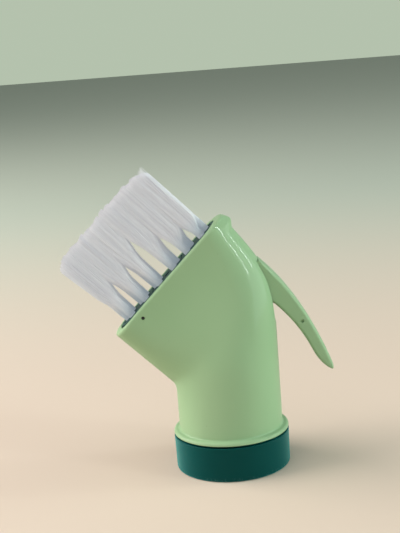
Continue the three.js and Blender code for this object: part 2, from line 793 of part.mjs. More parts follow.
// Brush plate, in the mouth's own frame: X along the mouth, Z out of it

const tuftStep = (index) => index - (tuftsPerRow - 1) / 2;
const stripPlace = (index) => tuftStep(index * tuftsPerStrip + (tuftsPerStrip - 1) / 2) * tuftPitch;
const tufts = tuftRows.flatMap((row) => Array.from({ length: tuftsPerRow }, (_, index) => {
  const step = tuftStep(index);
  const sideX = step * (tuftPitch - sideRowDraw);
  const middleX = step * tuftPitch + Math.sign(step) * middleRowSplit;
  return { row, index, place: at(row === 0 ? middleX : sideX, row * rowSpacing, 0) };
}));

function brushPlate() {
  const top = -plateSink;
  const base = oblong(pocketHalfLength - clearance, pocketHalfWidth - clearance, plateFoot, top);
  const hook = block(
    [pocketHalfLength - wall, -hookWidth / 2, hookFoot],
    [pocketHalfLength + hookLength, hookWidth / 2, hookFoot + hookThickness]);
  const nipple = rod(nippleRadius, at(0, 0, plateNippleEnd - outletReach), at(0, 0, plateFoot + overlap));
  const pocket = oblong(halfRow + clearance / 2, stripWidth / 2 + clearance, stripPocketFloor, top + overlap);
  const water = rod(waterHoleRadius, at(0, 0, -outletReach), at(0, 0, top + overlap));
  const pinBore = rodAcross(platePinBore, platePinOffset, platePinLevel, mouthWidth, pinSteps);
  let plate = base.add(hook).add(nipple).subtract(pocket).subtract(water).subtract(pinBore);
  const halfThickness = anchorThickness / 2 + clearance;
  const halfLength = anchorLength / 2 + clearance;
  for (const { place } of tufts) {
    plate = plate.subtract(block(
      [place.x - halfThickness, place.y - halfLength, stripPocketFloor - anchorHeight - clearance],
      [place.x + halfThickness, place.y + halfLength, stripPocketFloor + overlap]));
  }
  return plate;
}

function tuftAnchor({ place }) {
  return block(
    [place.x - anchorThickness / 2, place.y - anchorLength / 2, stripPocketFloor - anchorHeight],
    [place.x + anchorThickness / 2, place.y + anchorLength / 2, stripPocketFloor]);
}

function platePin() {
  return rodAcross(platePinRadius, platePinOffset, platePinLevel, mouthWidth / 2 - platePinRecess, pinSteps);
}

// Bristles

// A place in the unit disc, carried to the unit square so that full tufts meet along their sides.
function discToSquare(u, v) {
  const spread = (a, b) => {
    const base = 2 + a * a - b * b;
    const reach = 2 * Math.SQRT2 * a;
    return (Math.sqrt(Math.max(base + reach, 0)) - Math.sqrt(Math.max(base - reach, 0))) / 2;
  };
  return [spread(u, v), spread(v, u)];
}

function strand({ row, index, place }, seed) {
  const goldenTurn = Math.PI * (3 - Math.sqrt(5));
  const radius = Math.sqrt((seed + 0.5) / tuftStrands);
  const u = radius * Math.cos(seed * goldenTurn);
  const v = radius * Math.sin(seed * goldenTurn);
  const [squareX, squareY] = discToSquare(u, v);
  const rowDepth = bristleDepth / tuftRows.length;
  const root = at(place.x + u * tuftRootRadius, place.y + v * tuftRootRadius, -plateSink - overlap);
  const tip = at(
    tipLean + (tuftStep(index) + squareX * tuftFill / 2) * tuftPitch,
    (row + squareY * rowFill / 2) * rowDepth,
    0);
  const strays = index === tuftsPerRow - 1 && u > strayFrom;
  const upperDrop = strays ? strayDrop : upperTipDrop;
  const endDrop = (tip.x < 0 ? lowerTipDrop : upperDrop) * (Math.abs(tip.x) / halfRow) ** tipDropPower;
  tip.z = bristleLength - endDrop + tipRipple * Math.sin(seed * goldenTurn + place.x);
  const knee = root.clone().lerp(tip, kneeSpread).setZ(kneeHeight);
  const sides = 3;
  return skinned([root, knee, tip].map((point) => Array.from({ length: sides }, (_, k) => {
    const turn = k / sides * 2 * Math.PI;
    return point.clone().add(at(strandRadius * Math.cos(turn), strandRadius * Math.sin(turn), 0));
  })));
}

function bristleStrip(index) {
  const middle = stripPlace(index);
  const stretch = block([middle - stripLength / 2, -stripWidth / 2, stripFoot],
    [middle + stripLength / 2, stripWidth / 2, -plateSink]);
  const row = oblong(halfRow - clearance / 2, stripWidth / 2, stripFoot - overlap, overlap);
  let strip = stretch.intersect(row);
  if (middle === 0) {
    strip = strip.subtract(rod(waterHoleRadius, at(0, 0, stripFoot - overlap), at(0, 0, overlap)));
  }
  for (const tuft of tufts.filter((one) => Math.floor(one.index / tuftsPerStrip) === index)) {
    for (let seed = 0; seed < tuftStrands; seed += 1) {
      strip = strip.add(solid(strand(tuft, seed)));
    }
  }
  return strip;
}

// Finishes
const finish = (color, roughness, metalness = 0) =>
  new THREE.MeshStandardMaterial({ color, roughness, metalness });
const pastelGreen = finish(0x9dbd8f, 0.38);
const darkTeal = finish(0x0d4a45, 0.3);
const plateTeal = finish(0x17454a, 0.45);
const whiteNylon = finish(0xdcdce2, 0.6);
const whiteAcetal = finish(0xe9e9e4, 0.5);
const clearSilicone = finish(0xd5dad8, 0.55);
const blackRubber = finish(0x1c1d1e, 0.7);
const steel = finish(0xb9bcbf, 0.3, 1);
const brass = finish(0xb58a43, 0.35, 1);

function piece(name, body, material) {
  const mesh = new THREE.Mesh(geometryOf(body), material);
  mesh.name = name;
  return mesh;
}

const brush = new THREE.Group();
brush.add(
  piece('elbow_body', elbowBody(), pastelGreen),
  piece('base_collar', baseCollar(), darkTeal),
  piece('bottle_seal', bottleSeal(), clearSilicone),
  piece('valve_carrier', valveCarrier(), whiteAcetal),
  piece('valve_body', valveBody(), whiteAcetal),
  piece('valve_cap', valveCap(), darkTeal),
  piece('valve_stem', valveStem(), whiteAcetal),
  piece('poppet_seal', poppetSeal(), blackRubber),
  piece('stem_oring', stemOring(), blackRubber),
  piece('valve_spring', valveSpring(), steel),
  piece('inlet_hose', inletHose(), clearSilicone),
  piece('outlet_hose', outletHose(), clearSilicone),
  piece('trigger', trigger(), pastelGreen),
  piece('trigger_pin', triggerPin(), steel),
);

const mouth = new THREE.Group();
mouth.applyMatrix4(mouthMatrix);
mouth.add(
  piece('brush_plate', brushPlate(), plateTeal),
  piece('plate_pin', platePin(), steel),
);
['lower', 'middle', 'upper'].forEach((place, index) => {
  mouth.add(piece(`bristle_strip_${place}`, bristleStrip(index), whiteNylon));
});
tufts.forEach((tuft, i) => {
  mouth.add(piece(`tuft_anchor_${i + 1}`, tuftAnchor(tuft), brass));
});
brush.add(mouth);

export default brush;
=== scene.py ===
# %% [markdown]
# # Crevice brush for a drink bottle
# The brush is an elbow of pale green plastic that stands on a dark screw collar. Its narrow slanted
# mouth holds three rows of white tufts, and a thumb lever on its back lets water through to them.
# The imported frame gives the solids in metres. This lesson dresses them: the pieces that show are made
# again as smooth mouldings, every piece gets a finish, and the brush is lit as in a small studio.

# %% Load the frame
import json
import math
import random
from collections import namedtuple

import bmesh
import bpy
from mathutils import Matrix, Vector


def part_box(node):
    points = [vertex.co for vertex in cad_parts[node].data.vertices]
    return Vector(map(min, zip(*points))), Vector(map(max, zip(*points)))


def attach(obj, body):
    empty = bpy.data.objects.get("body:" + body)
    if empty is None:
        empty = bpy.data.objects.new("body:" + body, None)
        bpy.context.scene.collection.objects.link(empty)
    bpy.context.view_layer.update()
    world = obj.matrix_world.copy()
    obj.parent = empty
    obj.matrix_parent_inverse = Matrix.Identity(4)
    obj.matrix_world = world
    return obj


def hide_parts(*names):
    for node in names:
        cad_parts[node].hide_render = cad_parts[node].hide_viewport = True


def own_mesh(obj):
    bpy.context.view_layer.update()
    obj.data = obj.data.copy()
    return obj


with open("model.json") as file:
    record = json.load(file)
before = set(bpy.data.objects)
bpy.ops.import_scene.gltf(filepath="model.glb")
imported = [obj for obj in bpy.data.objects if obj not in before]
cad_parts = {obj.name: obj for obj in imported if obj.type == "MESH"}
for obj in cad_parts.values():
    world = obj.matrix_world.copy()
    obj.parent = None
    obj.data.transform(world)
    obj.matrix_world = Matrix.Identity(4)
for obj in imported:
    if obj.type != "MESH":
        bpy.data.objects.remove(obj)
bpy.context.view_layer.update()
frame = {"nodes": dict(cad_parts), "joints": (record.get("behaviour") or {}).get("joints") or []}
joints = {joint["name"]: joint for joint in frame["joints"]}
MM = 0.001

# %% [markdown]
# ## Camera
# The photograph looks at the brush from the side and a little above, with the camera tilted by a few
# degrees. Its place could be guessed by eye. Here it was fitted to the two rims of the collar and the
# straight sides of the neck, so that the render lies over the photograph. The fit gave the focal
# length in pixels, and Blender wants it in millimetres of its sensor.

# %% Set up the camera
PHOTO_HEIGHT = 533  # pixels
FOCAL_LENGTH = 1203.5  # pixels
SENSOR_HEIGHT = 36  # millimetres
CAMERA_ELEVATION = math.radians(12.1)
CAMERA_ROLL = math.radians(-4.35)
CAMERA_DISTANCE = 450 * MM
LOOK_AT = Vector((-7.39, 0, 77.77)) * MM


def add_camera():
    bpy.ops.object.camera_add()
    camera = bpy.context.object
    camera.data.sensor_fit = "VERTICAL"
    camera.data.sensor_height = SENSOR_HEIGHT
    camera.data.lens = FOCAL_LENGTH / PHOTO_HEIGHT * SENSOR_HEIGHT
    camera.data.clip_start = CAMERA_DISTANCE / 100
    back = Vector((0, -math.cos(CAMERA_ELEVATION), math.sin(CAMERA_ELEVATION)))
    pitch = Matrix.Rotation(math.radians(90) - CAMERA_ELEVATION, 4, "X")
    roll = Matrix.Rotation(CAMERA_ROLL, 4, "Z")
    camera.matrix_world = Matrix.Translation(LOOK_AT + back * CAMERA_DISTANCE) @ pitch @ roll
    return camera


camera = add_camera()
bpy.context.scene.camera = camera
print("camera at", [round(v / MM) for v in camera.location], "mm, lens", round(camera.data.lens, 1))

# %% [markdown]
# ## Reckoning with shader sockets
# A finish is a small sum: a cloudy noise times a little, plus a colour. Such sums could be wired by
# hand, node by node. A small class that wraps a socket lets Python write them as sums, and each sign
# adds its own Math node. One method makes every other node.

# %% Wrap a socket


class Socket:
    """An output of a shader node. Adding, taking away and so on make Math nodes."""

    def __init__(self, nodes, link):
        self.nodes, self.link = nodes, link

    def math(self, operation, *values):
        return self.nodes.add("ShaderNodeMath", {"operation": operation}, dict(enumerate(values)))

    def __add__(self, other):
        return self.math("ADD", self, other)

    def __sub__(self, other):
        return self.math("SUBTRACT", self, other)

    def __rsub__(self, other):
        return self.math("SUBTRACT", other, self)

    def __mul__(self, other):
        return self.math("MULTIPLY", self, other)

    __radd__ = __add__
    __rmul__ = __mul__


print("a socket can be added, taken away and multiplied")

# %% Wrap a node tree


class Nodes:
    """A node tree, emptied, to which nodes are added one after another."""

    def __init__(self, tree):
        self.tree = tree
        tree.nodes.clear()

    def add(self, kind, settings=None, sockets=None, output=0):
        node = self.tree.nodes.new(kind)
        for name, value in (settings or {}).items():
            setattr(node, name, value)
        for name, value in (sockets or {}).items():
            if isinstance(value, Socket):
                self.tree.links.new(value.link, node.inputs[name])
            else:
                node.inputs[name].default_value = value
        return Socket(self, node.outputs[output]) if node.outputs else node

    def ramp(self, value, low, high):
        """0 below low, 1 above high, and a soft slope between."""
        settings = {"interpolation_type": "SMOOTHSTEP"}
        return self.add("ShaderNodeMapRange", settings, {"Value": value, 1: low, 2: high})

    def blend(self, share, first, second):
        """A colour between two colours."""
        settings = {"data_type": "RGBA"}
        return self.add("ShaderNodeMix", settings, {0: share, 6: first, 7: second}, output=2)


print("a node tree has ramps and blends")

# %% Wrap a material


class Finish(Nodes):
    """A material of one Principled shader, with patterns that stay on the piece."""

    def __init__(self, name):
        self.material = bpy.data.materials.new(name)
        self.material.use_nodes = True
        super().__init__(self.material.node_tree)
        self.place = self.add("ShaderNodeTexCoord", output="Object")

    def axis(self, name, place=None):
        return self.add("ShaderNodeSeparateXYZ", None, {0: place or self.place}, output=name)

    def noise(self, scale, detail=2.0, place=None):
        sockets = {"Vector": place or self.place, "Scale": scale, "Detail": detail}
        return self.add("ShaderNodeTexNoise", None, sockets)

    def turned_place(self, rotation, stretch):
        """Coordinates turned and then stretched, for a pattern that runs one way."""
        sockets = {"Vector": self.place, "Rotation": rotation}
        turned_only = self.add("ShaderNodeMapping", {"vector_type": "POINT"}, sockets)
        return self.add("ShaderNodeVectorMath", {"operation": "MULTIPLY"}, {0: turned_only, 1: stretch})

    def relief(self, height, depth):
        return self.add("ShaderNodeBump", None, {"Height": height, "Distance": depth, "Strength": 1.0})

    def surface(self, **sockets):
        named_sockets = {name.replace("_", " "): value for name, value in sockets.items()}
        shader = self.add("ShaderNodeBsdfPrincipled", None, named_sockets)
        self.add("ShaderNodeOutputMaterial", None, {"Surface": shader})
        return self.material


print("a finish has noise, relief and a surface")

# %% [markdown]
# ## Stage and light
# A studio table is a pale sheet with large soft lamps round it. One big lamp would be enough to see
# by. Three are used here, because the photograph has light from both sides and less from the front:
# that is what draws the round neck with light edges and a darker middle. Two narrow strips on the
# right draw the thin bright lines on the shoulder. The world gives an even fill, and what the camera
# and the reflections see of it is a plain pale colour.

# %% Lay the floor and hang the lamps
FLOOR_SIZE = 6.0  # metres
FLOOR_DROP = 0.02 * MM
FLOOR_NEAR = (0.70, 0.59, 0.48, 1)
FLOOR_FAR = (0.55, 0.62, 0.52, 1)
FLOOR_FADE = (0.05, 0.7)  # metres behind the brush
BACKDROP = (0.46, 0.54, 0.42, 1)
FILL_COLOUR = (0.95, 1.0, 1.0, 1)
FILL_STRENGTH = 0.205
AIM = Vector((-8, 0, 55)) * MM
SOFT_LAMP = (1.2, 1.0)  # metres
STRIP_LAMP = (0.05, 0.18)
STRIP_WATTS = 1.4
WARM_WHITE = (1.0, 0.90, 0.87)
COOL_WHITE = (0.84, 1.0, 0.97)
STRIP_WHITE = (0.92, 1.0, 0.97)
PLAIN_WHITE = (1.0, 1.0, 1.0)


def floor_finish():
    finish = Finish("floor_paint")
    far = finish.ramp(finish.axis("Y"), *FLOOR_FADE)
    paint = finish.blend(far, FLOOR_NEAR, FLOOR_FAR)
    return finish.surface(Base_Color=paint, Roughness=0.75)


def add_floor():
    bpy.ops.object.select_all(action="DESELECT")
    bpy.ops.mesh.primitive_plane_add(size=FLOOR_SIZE, location=(0, 0, -FLOOR_DROP))
    floor = bpy.context.object
    floor.name = "floor"
    floor.data.materials.append(floor_finish())


def add_lamp(name, place, size, watts, colour):
    bpy.ops.object.light_add(type="AREA", location=place)
    lamp = bpy.context.object
    lamp.name = name
    lamp.data.shape = "RECTANGLE"
    lamp.data.size, lamp.data.size_y = size
    lamp.data.energy = watts
    lamp.data.color = colour
    lamp.rotation_euler = (AIM - lamp.location).to_track_quat("-Z", "Y").to_euler()


def light_the_world():
    world = bpy.data.worlds.new("studio")
    world.use_nodes = True
    bpy.context.scene.world = world
    nodes = Nodes(world.node_tree)
    rays = ("Is Camera Ray", "Is Glossy Ray", "Is Transmission Ray")
    seen = sum(nodes.add("ShaderNodeLightPath", output=ray) for ray in rays)
    fill = nodes.add("ShaderNodeBackground", None, {0: FILL_COLOUR, 1: FILL_STRENGTH})
    backdrop = nodes.add("ShaderNodeBackground", None, {0: BACKDROP, 1: 1.0})
    both = nodes.add("ShaderNodeMixShader", None, {0: seen, 1: fill, 2: backdrop})
    nodes.add("ShaderNodeOutputWorld", None, {"Surface": both})


add_floor()
add_lamp("window_left", Vector((-1.05, 0.15, 0.6)), SOFT_LAMP, 19.5, WARM_WHITE)
add_lamp("window_right", Vector((1.02, -0.22, 0.15)), SOFT_LAMP, 11.5, COOL_WHITE)
add_lamp("strip_back", Vector((1.12, 0.0, 0.62)), STRIP_LAMP, STRIP_WATTS, STRIP_WHITE)
add_lamp("strip_front", Vector((0.96, -0.57, 0.62)), STRIP_LAMP, STRIP_WATTS, STRIP_WHITE)
add_lamp("ceiling", Vector((-0.45, -0.4, 1.3)), SOFT_LAMP, 6, PLAIN_WHITE)
light_the_world()
bpy.context.scene.view_settings.view_transform = "Standard"
print("stage:", [thing.name for thing in bpy.data.objects if thing.type == "LIGHT"])

# %% [markdown]
# ## Pale green shell plastic
# The head and the lever are moulded in a pale green plastic with a satin skin. One flat colour would
# look like paint. A real moulding has slow clouds in its tint, a skin that is a touch rougher in
# places, fine specks and the soft pebble of the mould, so these are laid over each other, each only
# just visible.

# %% Mix the shell plastic
SHELL_GREEN = (0.328, 0.505, 0.290, 1)
SHELL_GREEN_CLOUD = (0.303, 0.482, 0.268, 1)
SPECK_GREEN = (0.20, 0.30, 0.15, 1)
CLOUD_SCALE = 45  # waves per metre
SPECK_SCALE = 700
SPECK_STOPS = (0.77, 0.83)  # only the noise's peaks are specks
SPECK_SHARE = 0.35
PEBBLE_SCALE = 2600
SHELL_PEBBLE = 0.012 * MM  # deep


def shell_plastic():
    finish = Finish("shell_plastic")
    cloud = finish.noise(CLOUD_SCALE, 3.0)
    pebble = finish.noise(PEBBLE_SCALE, 2.0)
    speck = finish.ramp(finish.noise(SPECK_SCALE, 1.0), *SPECK_STOPS)
    tint = finish.blend(cloud, SHELL_GREEN, SHELL_GREEN_CLOUD)
    tint = finish.blend(speck * SPECK_SHARE, tint, SPECK_GREEN)
    return finish.surface(
        Base_Color=tint, Roughness=0.30 + 0.10 * cloud + 0.06 * pebble, Specular_IOR_Level=0.02,
        Coat_Weight=0.26, Coat_Roughness=0.07, Normal=finish.relief(pebble, SHELL_PEBBLE))


shell_green = shell_plastic()
print("finish:", shell_green.name)

# %% [markdown]
# ## Dark teal plastics
# The collar is a deep blue-green gloss plastic that scuffs a little where it stands, and its edges
# have a faint sheen against the light. The brush plate has the same dye in a duller moulding. Both
# come from one recipe, because they differ only in tint, gloss, sheen and how worn they are.

# %% Mix the teal plastics
COLLAR_TEAL = (0.0003, 0.047, 0.043, 1)
COLLAR_TEAL_CLOUD = (0.0006, 0.055, 0.051, 1)
PLATE_TEAL = (0.016, 0.060, 0.056, 1)
PLATE_TEAL_CLOUD = (0.024, 0.078, 0.072, 1)
SCUFF_TEAL = (0.07, 0.17, 0.16, 1)
SHEEN_TEAL = (0.12, 1.0, 0.97, 1)
SCUFF_HEIGHT = 2.2 * MM
SCUFF_STOPS = (0.52, 0.68)
TEAL_PEBBLE = 0.008 * MM


def teal_plastic(name, tint, cloud_tint, roughness, scuffs, sheen):
    finish = Finish(name)
    cloud = finish.noise(CLOUD_SCALE * 2, 3.0)
    pebble = finish.noise(PEBBLE_SCALE, 2.0)
    low = 1 - finish.ramp(finish.axis("Z"), 0, SCUFF_HEIGHT)
    scuff = low * finish.ramp(finish.noise(SPECK_SCALE * 2, 4.0), *SCUFF_STOPS) * scuffs
    colour = finish.blend(scuff, finish.blend(cloud, tint, cloud_tint), SCUFF_TEAL)
    return finish.surface(
        Base_Color=colour, Roughness=roughness + 0.08 * cloud + 0.25 * scuff,
        Specular_IOR_Level=0.06, Sheen_Weight=sheen, Sheen_Roughness=0.4,
        Sheen_Tint=SHEEN_TEAL, Normal=finish.relief(pebble, TEAL_PEBBLE))


collar_teal = teal_plastic(
    "collar_teal", COLLAR_TEAL, COLLAR_TEAL_CLOUD, roughness=0.2, scuffs=0.6, sheen=0.7)
plate_teal = teal_plastic(
    "plate_teal", PLATE_TEAL, PLATE_TEAL_CLOUD, roughness=0.38, scuffs=0.0, sheen=0.0)
print("finishes:", collar_teal.name, plate_teal.name)

# %% [markdown]
# ## Bristle nylon
# Each bristle is a thin white nylon wire, slightly see-through, so a tuft is brightest where it is
# thin. The streaks along a brush come from bristles that took the light differently. A noise that is
# long along the bristles and short across them gives those streaks, and the roots are a little cooler
# because less light gets in there. Light that wanders from wire to wire takes long to trace, so a
# weak glow in the wires' own colour stands in for it.

# %% Mix the bristle nylon
MOUTH_LEAN = math.radians(45)
MOUTH_CENTRE = Vector((-20.0, 0, 76.05)) * MM
NYLON = (0.75, 0.76, 0.78, 1)
NYLON_STREAK = (0.675, 0.685, 0.715, 1)
NYLON_ROOT = (0.57, 0.65, 0.71, 1)
ROOT_SHADE = 9 * MM
ROOT_SHARE = 0.8
STREAK_STRETCH = (900, 900, 25)  # waves per metre, twice across the bristles and then along them
STREAK_STOPS = (0.35, 0.7)
NYLON_GLOW = 0.18


def bristle_nylon():
    finish = Finish("bristle_nylon")
    along = finish.turned_place((0, MOUTH_LEAN, 0), (1, 1, 1))
    mouth_level = MOUTH_CENTRE.z * math.cos(MOUTH_LEAN) - MOUTH_CENTRE.x * math.sin(MOUTH_LEAN)
    rooted = 1 - finish.ramp(finish.axis("Z", along) - mouth_level, 0, ROOT_SHADE)
    streak = finish.noise(1.0, 3.0, finish.turned_place((0, MOUTH_LEAN, 0), STREAK_STRETCH))
    colour = finish.blend(finish.ramp(streak, *STREAK_STOPS), NYLON, NYLON_STREAK)
    colour = finish.blend(rooted * ROOT_SHARE, colour, NYLON_ROOT)
    return finish.surface(
        Base_Color=colour, Roughness=0.55 + 0.2 * streak, Specular_IOR_Level=0.25,
        Emission_Color=colour, Emission_Strength=NYLON_GLOW)


nylon = bristle_nylon()
print("finish:", nylon.name)

# %% [markdown]
# ## Finishes of the hidden works
# Through the lever's slot and from below, the valve shows: white moulded carriers, milky silicone
# hoses and seal, black rubber rings, a steel spring and pins, and brass anchors under the tufts. One
# recipe for plastics and rubbers and one for metals are enough, each with clouds and grain of its own
# size.

# %% Mix the finishes of the works
DRAWN_LINES = (4000, 150, 4000)  # waves per metre
LINE_DEPTH = 0.004 * MM
STAIN_STOPS = (0.5, 0.75)


def plain_moulding(name, tint, cloud_tint, roughness, grain_scale, grain_depth, **constants):
    finish = Finish(name)
    cloud = finish.noise(CLOUD_SCALE * 3, 3.0)
    grain = finish.noise(grain_scale, 3.0)
    return finish.surface(
        Base_Color=finish.blend(cloud, tint, cloud_tint), Roughness=roughness + 0.12 * grain,
        Normal=finish.relief(grain, grain_depth), **constants)


def drawn_metal(name, tint, tarnish, roughness):
    finish = Finish(name)
    lines = finish.noise(1.0, 3.0, finish.turned_place((0, 0, 0), DRAWN_LINES))
    stain = finish.ramp(finish.noise(CLOUD_SCALE * 10, 4.0), *STAIN_STOPS)
    return finish.surface(
        Base_Color=finish.blend(stain, tint, tarnish), Metallic=1.0,
        Roughness=roughness + 0.15 * lines + 0.15 * stain, Normal=finish.relief(lines, LINE_DEPTH))


white_acetal = plain_moulding(
    "white_acetal", (0.80, 0.80, 0.76, 1), (0.74, 0.74, 0.69, 1),
    roughness=0.36, grain_scale=2200, grain_depth=0.010 * MM)
milky_silicone = plain_moulding(
    "milky_silicone", (0.66, 0.71, 0.69, 1), (0.58, 0.64, 0.62, 1),
    roughness=0.42, grain_scale=900, grain_depth=0.010 * MM, Subsurface_Weight=0.2)
black_rubber = plain_moulding(
    "black_rubber", (0.012, 0.012, 0.013, 1), (0.02, 0.02, 0.021, 1),
    roughness=0.6, grain_scale=3000, grain_depth=0.020 * MM)
spring_steel = drawn_metal(
    "spring_steel", (0.52, 0.54, 0.56, 1), (0.36, 0.36, 0.36, 1), roughness=0.22)
# The plate pin's steel is near black: blackened steel, and partly painted shade, so that its end in the
# hole shows as dark as a hole in shade.
pin_steel = drawn_metal(
    "pin_steel", (0.055, 0.06, 0.06, 1), (0.03, 0.03, 0.03, 1), roughness=0.4)
anchor_brass = drawn_metal(
    "anchor_brass", (0.56, 0.36, 0.10, 1), (0.30, 0.17, 0.05, 1), roughness=0.28)
print("finishes:", len(bpy.data.materials))

# %% [markdown]
# ## Modelling tools
# Most pieces here are turned or lofted: a ring of points is extruded, the new ring is moved to its
# place, and so on along the piece. Blender's extrude does just that. The helpers below wrap it, and
# they deselect everything first, because an operator acts on all that is selected.

# %% Select and extrude
WELD = 0.001 * MM  # points nearer than this are one


def fresh_start():
    if bpy.context.mode != "OBJECT":
        bpy.ops.object.mode_set(mode="OBJECT")
    bpy.ops.object.select_all(action="DESELECT")


def make_active(piece):
    fresh_start()
    piece.select_set(True)
    bpy.context.view_layer.objects.active = piece


def start_ring(points):
    """A new piece in edit mode: a circle whose corners are moved to the points."""
    fresh_start()
    bpy.ops.mesh.primitive_circle_add(vertices=len(points))
    bpy.ops.object.mode_set(mode="EDIT")
    bpy.ops.mesh.select_all(action="SELECT")
    move_ring(points)
    return bpy.context.object


def move_ring(points):
    """Puts the corners that are selected at the points, in order."""
    piece = bpy.context.object
    mesh = bmesh.from_edit_mesh(piece.data)
    ring = [corner for corner in mesh.verts if corner.select]
    for corner, point in zip(ring, points, strict=True):
        corner.co = point
    bmesh.update_edit_mesh(piece.data)


def close_up(name):
    """Merges rings that meet, fills open ends and turns the faces outwards."""
    bpy.ops.mesh.select_all(action="SELECT")
    bpy.ops.mesh.remove_doubles(threshold=WELD)
    bpy.ops.mesh.fill_holes(sides=0)
    bpy.ops.mesh.normals_make_consistent(inside=False)
    bpy.ops.object.mode_set(mode="OBJECT")
    piece = bpy.context.object
    piece.name = piece.data.name = name
    return piece


print("points are merged below", WELD / MM, "mm")

# %% Loft and turn


def loft(name, rings):
    """A skin over rings of points. Rings that come back to the first make a closed wall."""
    start_ring(rings[0])
    for ring in rings[1:]:
        bpy.ops.mesh.extrude_region()
        move_ring(ring)
    return close_up(name)


def full_turn(count):
    return [2 * math.pi * i / count for i in range(count)]


def circle(radius, level, count):
    return [Vector((radius * math.cos(a), radius * math.sin(a), level)) for a in full_turn(count)]


def turned(name, outline, count):
    """A closed outline of (radius, level) points, turned about the neck's axis."""
    points = [*outline, outline[0]]
    start_ring(circle(*points[0], count))
    for (radius, level), (next_radius, next_level) in zip(points, points[1:]):
        climb = {"value": (0, 0, next_level - level)}
        grow = next_radius / radius
        bpy.ops.mesh.extrude_region_move(TRANSFORM_OT_translate=climb)
        bpy.ops.transform.resize(value=(grow, grow, 1), center_override=(0, 0, 0))
    return close_up(name)


print("a loft joins rings, and a turned piece is a loft of circles")

# %% Draw outlines
CORNER_STEPS = 5


def rounded(corners, steps=CORNER_STEPS):
    """An outline whose corners, each (across, up, rounding), are rounded by arcs."""
    points = []
    for i, (across, up, rounding) in enumerate(corners):
        here = Vector((across, up))
        if not rounding:
            points.append(here)
            continue
        before = (Vector(corners[i - 1][:2]) - here).normalized()
        after = (Vector(corners[(i + 1) % len(corners)][:2]) - here).normalized()
        half = before.angle(after) / 2
        centre = here + (before + after).normalized() * rounding / math.sin(half)
        first = here + before * rounding / math.tan(half) - centre
        last = here + after * rounding / math.tan(half) - centre
        start = math.atan2(first.y, first.x)
        sweep = (math.atan2(last.y, last.x) - start + math.pi) % (2 * math.pi) - math.pi
        for step in range(steps + 1):
            turn = start + sweep * step / steps
            points.append(centre + rounding * Vector((math.cos(turn), math.sin(turn))))
    return points


def bezier(start, start_pull, end_pull, end, steps):
    """Points of a cubic curve without its last one, so that curves can follow each other."""
    shares = [i / steps for i in range(steps)]
    return [start * (1 - t) ** 3 + start_pull * 3 * t * (1 - t) ** 2
            + end_pull * 3 * t * t * (1 - t) + end * t ** 3 for t in shares]


print("corners are rounded in", CORNER_STEPS, "steps")

# %% Cut, smooth and dress


def plate_of(name, outline, low_y, high_y):
    """A flat outline in XZ, filled and extruded across Y."""
    start_ring([Vector((x, low_y, z)) for x, z in outline])
    bpy.ops.mesh.edge_face_add()
    bpy.ops.mesh.extrude_region_move(TRANSFORM_OT_translate={"value": (0, high_y - low_y, 0)})
    return close_up(name)


def rod_across(name, radius, x, z, low_y, high_y, count=32):
    outline = [(x + radius * math.cos(a), z + radius * math.sin(a)) for a in full_turn(count)]
    return plate_of(name, outline, low_y, high_y)


def apply_modifier(piece, kind, **settings):
    make_active(piece)
    modifier = piece.modifiers.new(kind.title(), kind)
    for name, value in settings.items():
        setattr(modifier, name, value)
    bpy.ops.object.modifier_apply(modifier=modifier.name)


def combine(piece, tool, operation):
    """Cuts a tool from a piece, or joins it on, and throws the tool away."""
    apply_modifier(piece, "BOOLEAN", object=tool, operation=operation, solver="EXACT")
    bpy.data.objects.remove(tool)


def smooth(piece, angle=35):
    make_active(piece)
    bpy.ops.object.shade_smooth_by_angle(angle=math.radians(angle))
    apply_modifier(piece, "WEIGHTED_NORMAL", keep_sharp=True, weight=80)


def dress(piece, finish, body, slot, *stands_for):
    """Gives a new piece its finish and the body it moves with, and hides the solids it stands for."""
    piece.data.materials.clear()
    piece.data.materials.append(finish)
    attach(piece, body)
    if stands_for:
        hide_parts(*stands_for)
    print(piece.name, len(piece.data.polygons), "faces")


# %% [markdown]
# ## The head's sections
# The head starts as a round tube and ends as a narrow oblong. A moulder would draw the inner and the
# outer line of the bend and let the sections change shape between them. So does this cell: each
# station joins a point on the back to a point under the bend, and its section goes from a circle to
# an oblong with round ends.

# %% Place the mouth and the bend
FLANGE_LIP = 2.25 * MM
UNDER_BEND_RADIUS = 4.7 * MM
MOUTH_LENGTH = 60.6 * MM
MOUTH_WIDTH = 18 * MM
flange_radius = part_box("elbow_body")[1].y
neck_radius = flange_radius - FLANGE_LIP
along_mouth = Vector((math.cos(MOUTH_LEAN), 0, math.sin(MOUTH_LEAN)))
out_of_mouth = Vector((-math.sin(MOUTH_LEAN), 0, math.cos(MOUTH_LEAN)))
mouth_low = MOUTH_CENTRE - along_mouth * MOUTH_LENGTH / 2
mouth_top = MOUTH_CENTRE + along_mouth * MOUTH_LENGTH / 2
head_length = (neck_radius + mouth_low.x + UNDER_BEND_RADIUS * (1 - along_mouth.x)) / out_of_mouth.x
bend_centre = mouth_low - along_mouth * UNDER_BEND_RADIUS - out_of_mouth * head_length
print("the head is", round(head_length / MM, 1), "mm long under the bend")

# %% Work out the head's stations
BACK_LEAN_START = 55 * MM
BACK_PULLS = (22 * MM, 20 * MM)
BACK_FLARE = math.radians(10)
STRAIGHT_STATIONS = 8
BACK_STATIONS = 54
BACK_SAMPLES = 400
MOUTH_CROWDING = 1.5  # how much closer the stations stand towards the mouth
Station = namedtuple("Station", "middle axis half_length half_width blend run")


def soft_step(share):
    return share * share * (3 - 2 * share)


def rise(value, start, end):
    """0 up to start, 1 from end on, and a soft slope between."""
    return soft_step(min(max((value - start) / (end - start), 0), 1))


